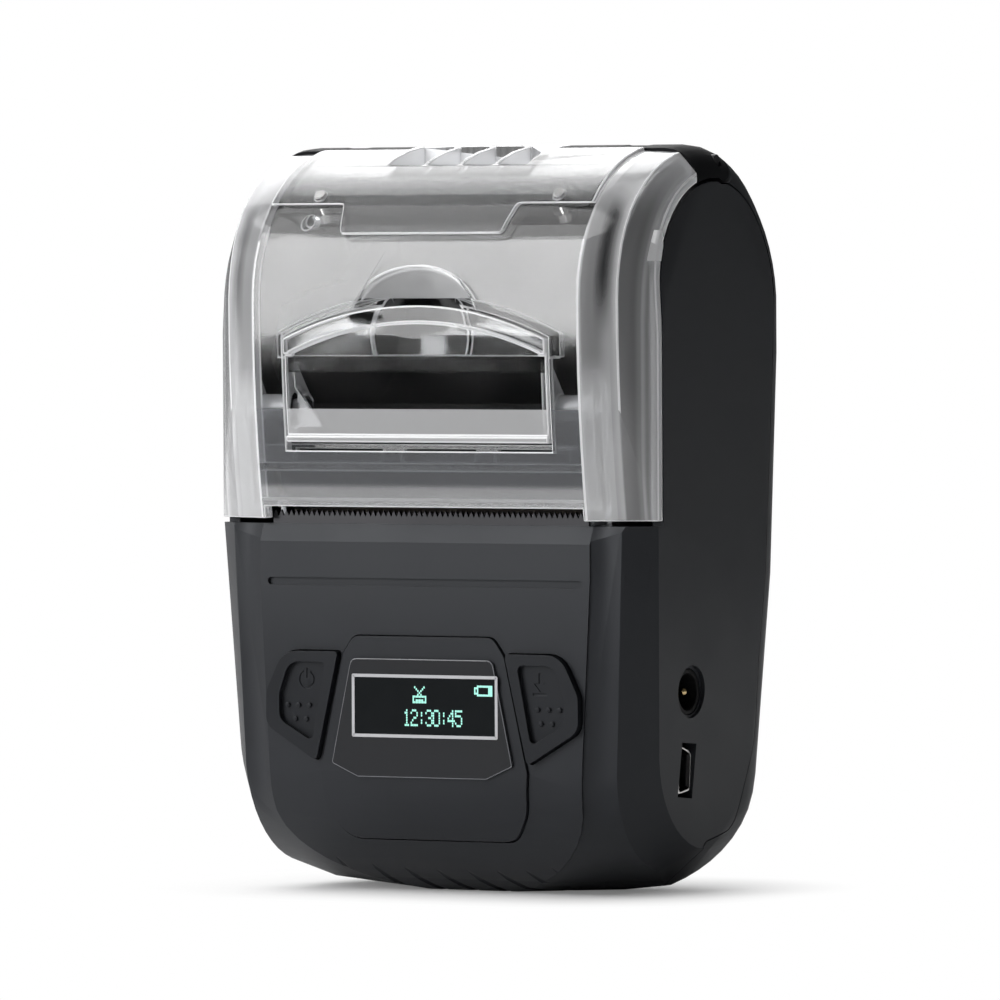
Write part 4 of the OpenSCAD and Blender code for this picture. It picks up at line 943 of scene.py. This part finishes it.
# %% [markdown]
# ## Inks and light
#
# The lens label is printed from behind: black over the glass, with a pale line round it. Behind
# the glass only the lit dots can be seen. Ink is almost as dull as paper and has no grain, only
# some clouding in its roughness. The dots glow in a pale green.

# %% Printed finishes
def printed(name, color, roughness, specular, glow=None):
    plain = {"Base Color": color, "Specular IOR Level": specular}
    material, tree, shader = new_finish(name, plain)
    clouds = effect(tree, cloud_group, 3 * mm)
    cloudy = between(tree, clouds, 0, 1, roughness - 0.04, roughness + 0.04)
    feed(tree, shader, {"Roughness": cloudy})
    if glow:
        feed(tree, shader, {"Emission Color": glow, "Emission Strength": 1.3})
    return material


pale_ink = printed("pale_ink", (0.50, 0.50, 0.52), 0.5, 0.2)
black_ink = printed("black_ink", (0.003, 0.0045, 0.0055), 0.5, 0.07)
lit_dot = printed("lit_dot", (0.1, 0.12, 0.12), 0.5, 0.2, glow=(0.30, 0.75, 0.62))
print("printed finishes:", pale_ink.name, black_ink.name, lit_dot.name)

# %% [markdown]
# ## The display's printed frame
#
# On the part this ink is thinner than a hair, so each print is a flat face that stands a
# hundredth of a millimetre off the lens. The pale line is a rounded rectangle whose middle is
# taken out after an inset, so its width is the same all round.

# %% The printed frame
label_y = -23.3 * mm
glass_left, glass_right, glass_low, glass_high = -12.8 * mm, 14.0 * mm, 24.8 * mm, 34.75 * mm
corner_round, line_width = 0.25 * mm, 0.5 * mm


def flat_face(name, x0, x1, z0, z1, lift):
    """A face that looks to the front, given by its edges."""
    middle = ((x0 + x1) / 2, label_y - lift, (z0 + z1) / 2)
    bpy.ops.object.select_all(action="DESELECT")
    bpy.ops.mesh.primitive_plane_add(size=1, location=middle, rotation=(math.pi / 2, 0, 0))
    face = bpy.context.object
    face.name = name
    face.scale = (x1 - x0, z1 - z0, 1)
    bpy.ops.object.transform_apply(location=True, rotation=True, scale=True)
    return face


def glass_print(name, lift, ink):
    face = flat_face(name, glass_left, glass_right, glass_low, glass_high, lift)
    open_mesh(face)
    bpy.ops.mesh.bevel(offset=corner_round, segments=3, affect="VERTICES")
    bpy.ops.object.mode_set(mode="OBJECT")
    face.data.materials.append(ink)
    return face


frame_line = glass_print("display_frame_print", 0.012 * mm, pale_ink)
open_mesh(frame_line)
bpy.ops.mesh.inset(thickness=line_width)
bpy.ops.mesh.delete(type="FACE")
bpy.ops.object.mode_set(mode="OBJECT")
surround = glass_print("display_black_print", 0.008 * mm, black_ink)
for piece in (frame_line, surround):
    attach(piece, "casing")
print("frame print", [round(v / mm, 2) for v in frame_line.dimensions])

# %% [markdown]
# ## The lit dots
#
# The display itself is a grid of tiny lamps, and only the lit ones can be seen. So one dot with
# cut corners is made and copied to every place that the figures and the two signs light. The
# rows of ones and noughts are the dot patterns: five wide and seven high for a figure. The
# signs are a battery and a small printer.

# %% One dot, and the patterns
dot_wide, dot_high, pitch_x, pitch_z = 0.24 * mm, 0.34 * mm, 0.27 * mm, 0.385 * mm
figures = {
    "0": "01110 10001 10001 10001 10001 10001 01110",
    "1": "00100 01100 00100 00100 00100 00100 01110",
    "2": "01110 10001 00001 00110 01000 10000 11111",
    "3": "01110 10001 00001 00110 00001 10001 01110",
    "4": "00010 00110 01010 10010 11111 00010 00010",
    "5": "11111 10000 11110 00001 00001 10001 01110",
    ":": "00000 00100 00100 00000 00100 00100 00000",
}
battery_sign = """
    0011111111111 1110000000111 1010000000111 1010000000111 1110000000111 0011111111111
"""
paper_sign = """
    010000010 001000100 000101000 000010000 000101000 111111111 100000001 101111101 111111111
"""
dot = flat_face("dot", 0, dot_wide, 0, dot_high, 0.02 * mm)
open_mesh(dot)
bpy.ops.mesh.bevel(offset=0.06 * mm, segments=2, affect="VERTICES")
bpy.ops.object.mode_set(mode="OBJECT")
dot.data.materials.append(lit_dot)
print("a dot has", len(dot.data.vertices), "corners")

# %% [markdown]
# ## Lighting the display up
#
# The time stands in the middle of the display, at the full pitch of the dots. The two signs
# above it are drawn closer together. All copies are joined into one piece, and the first dot,
# which was only the pattern for the others, is removed.

# %% The lit dots
lit = []


def light_up(pattern, left, top, step_x, step_z):
    for row, marks in enumerate(pattern.split()):
        for column, mark in enumerate(marks):
            if mark == "1":
                copy = dot.copy()
                copy.data = dot.data.copy()
                copy.location = (left + column * step_x, 0, top - (row + 1) * step_z)
                scene.collection.objects.link(copy)
                lit.append(copy)


for count, figure in enumerate("12:30:45"):
    light_up(figures[figure], (-3.3 + 1.36 * count) * mm, 29.35 * mm, pitch_x, pitch_z)
light_up(battery_sign, 9.75 * mm, 33.2 * mm, pitch_x * 0.95, pitch_z * 0.72)
light_up(paper_sign, -1.55 * mm, 32.9 * mm, pitch_x * 1.05, pitch_z * 0.76)
bpy.ops.object.select_all(action="DESELECT")
for copy in lit:
    copy.select_set(True)
bpy.context.view_layer.objects.active = lit[0]
bpy.ops.object.join()
shown = bpy.context.object
shown.name = "display_lit_dots"
bpy.ops.object.transform_apply(location=True, rotation=True, scale=True)
bpy.data.objects.remove(dot)
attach(shown, "casing")
print("lit dots:", len(lit), "faces:", len(shown.data.polygons))
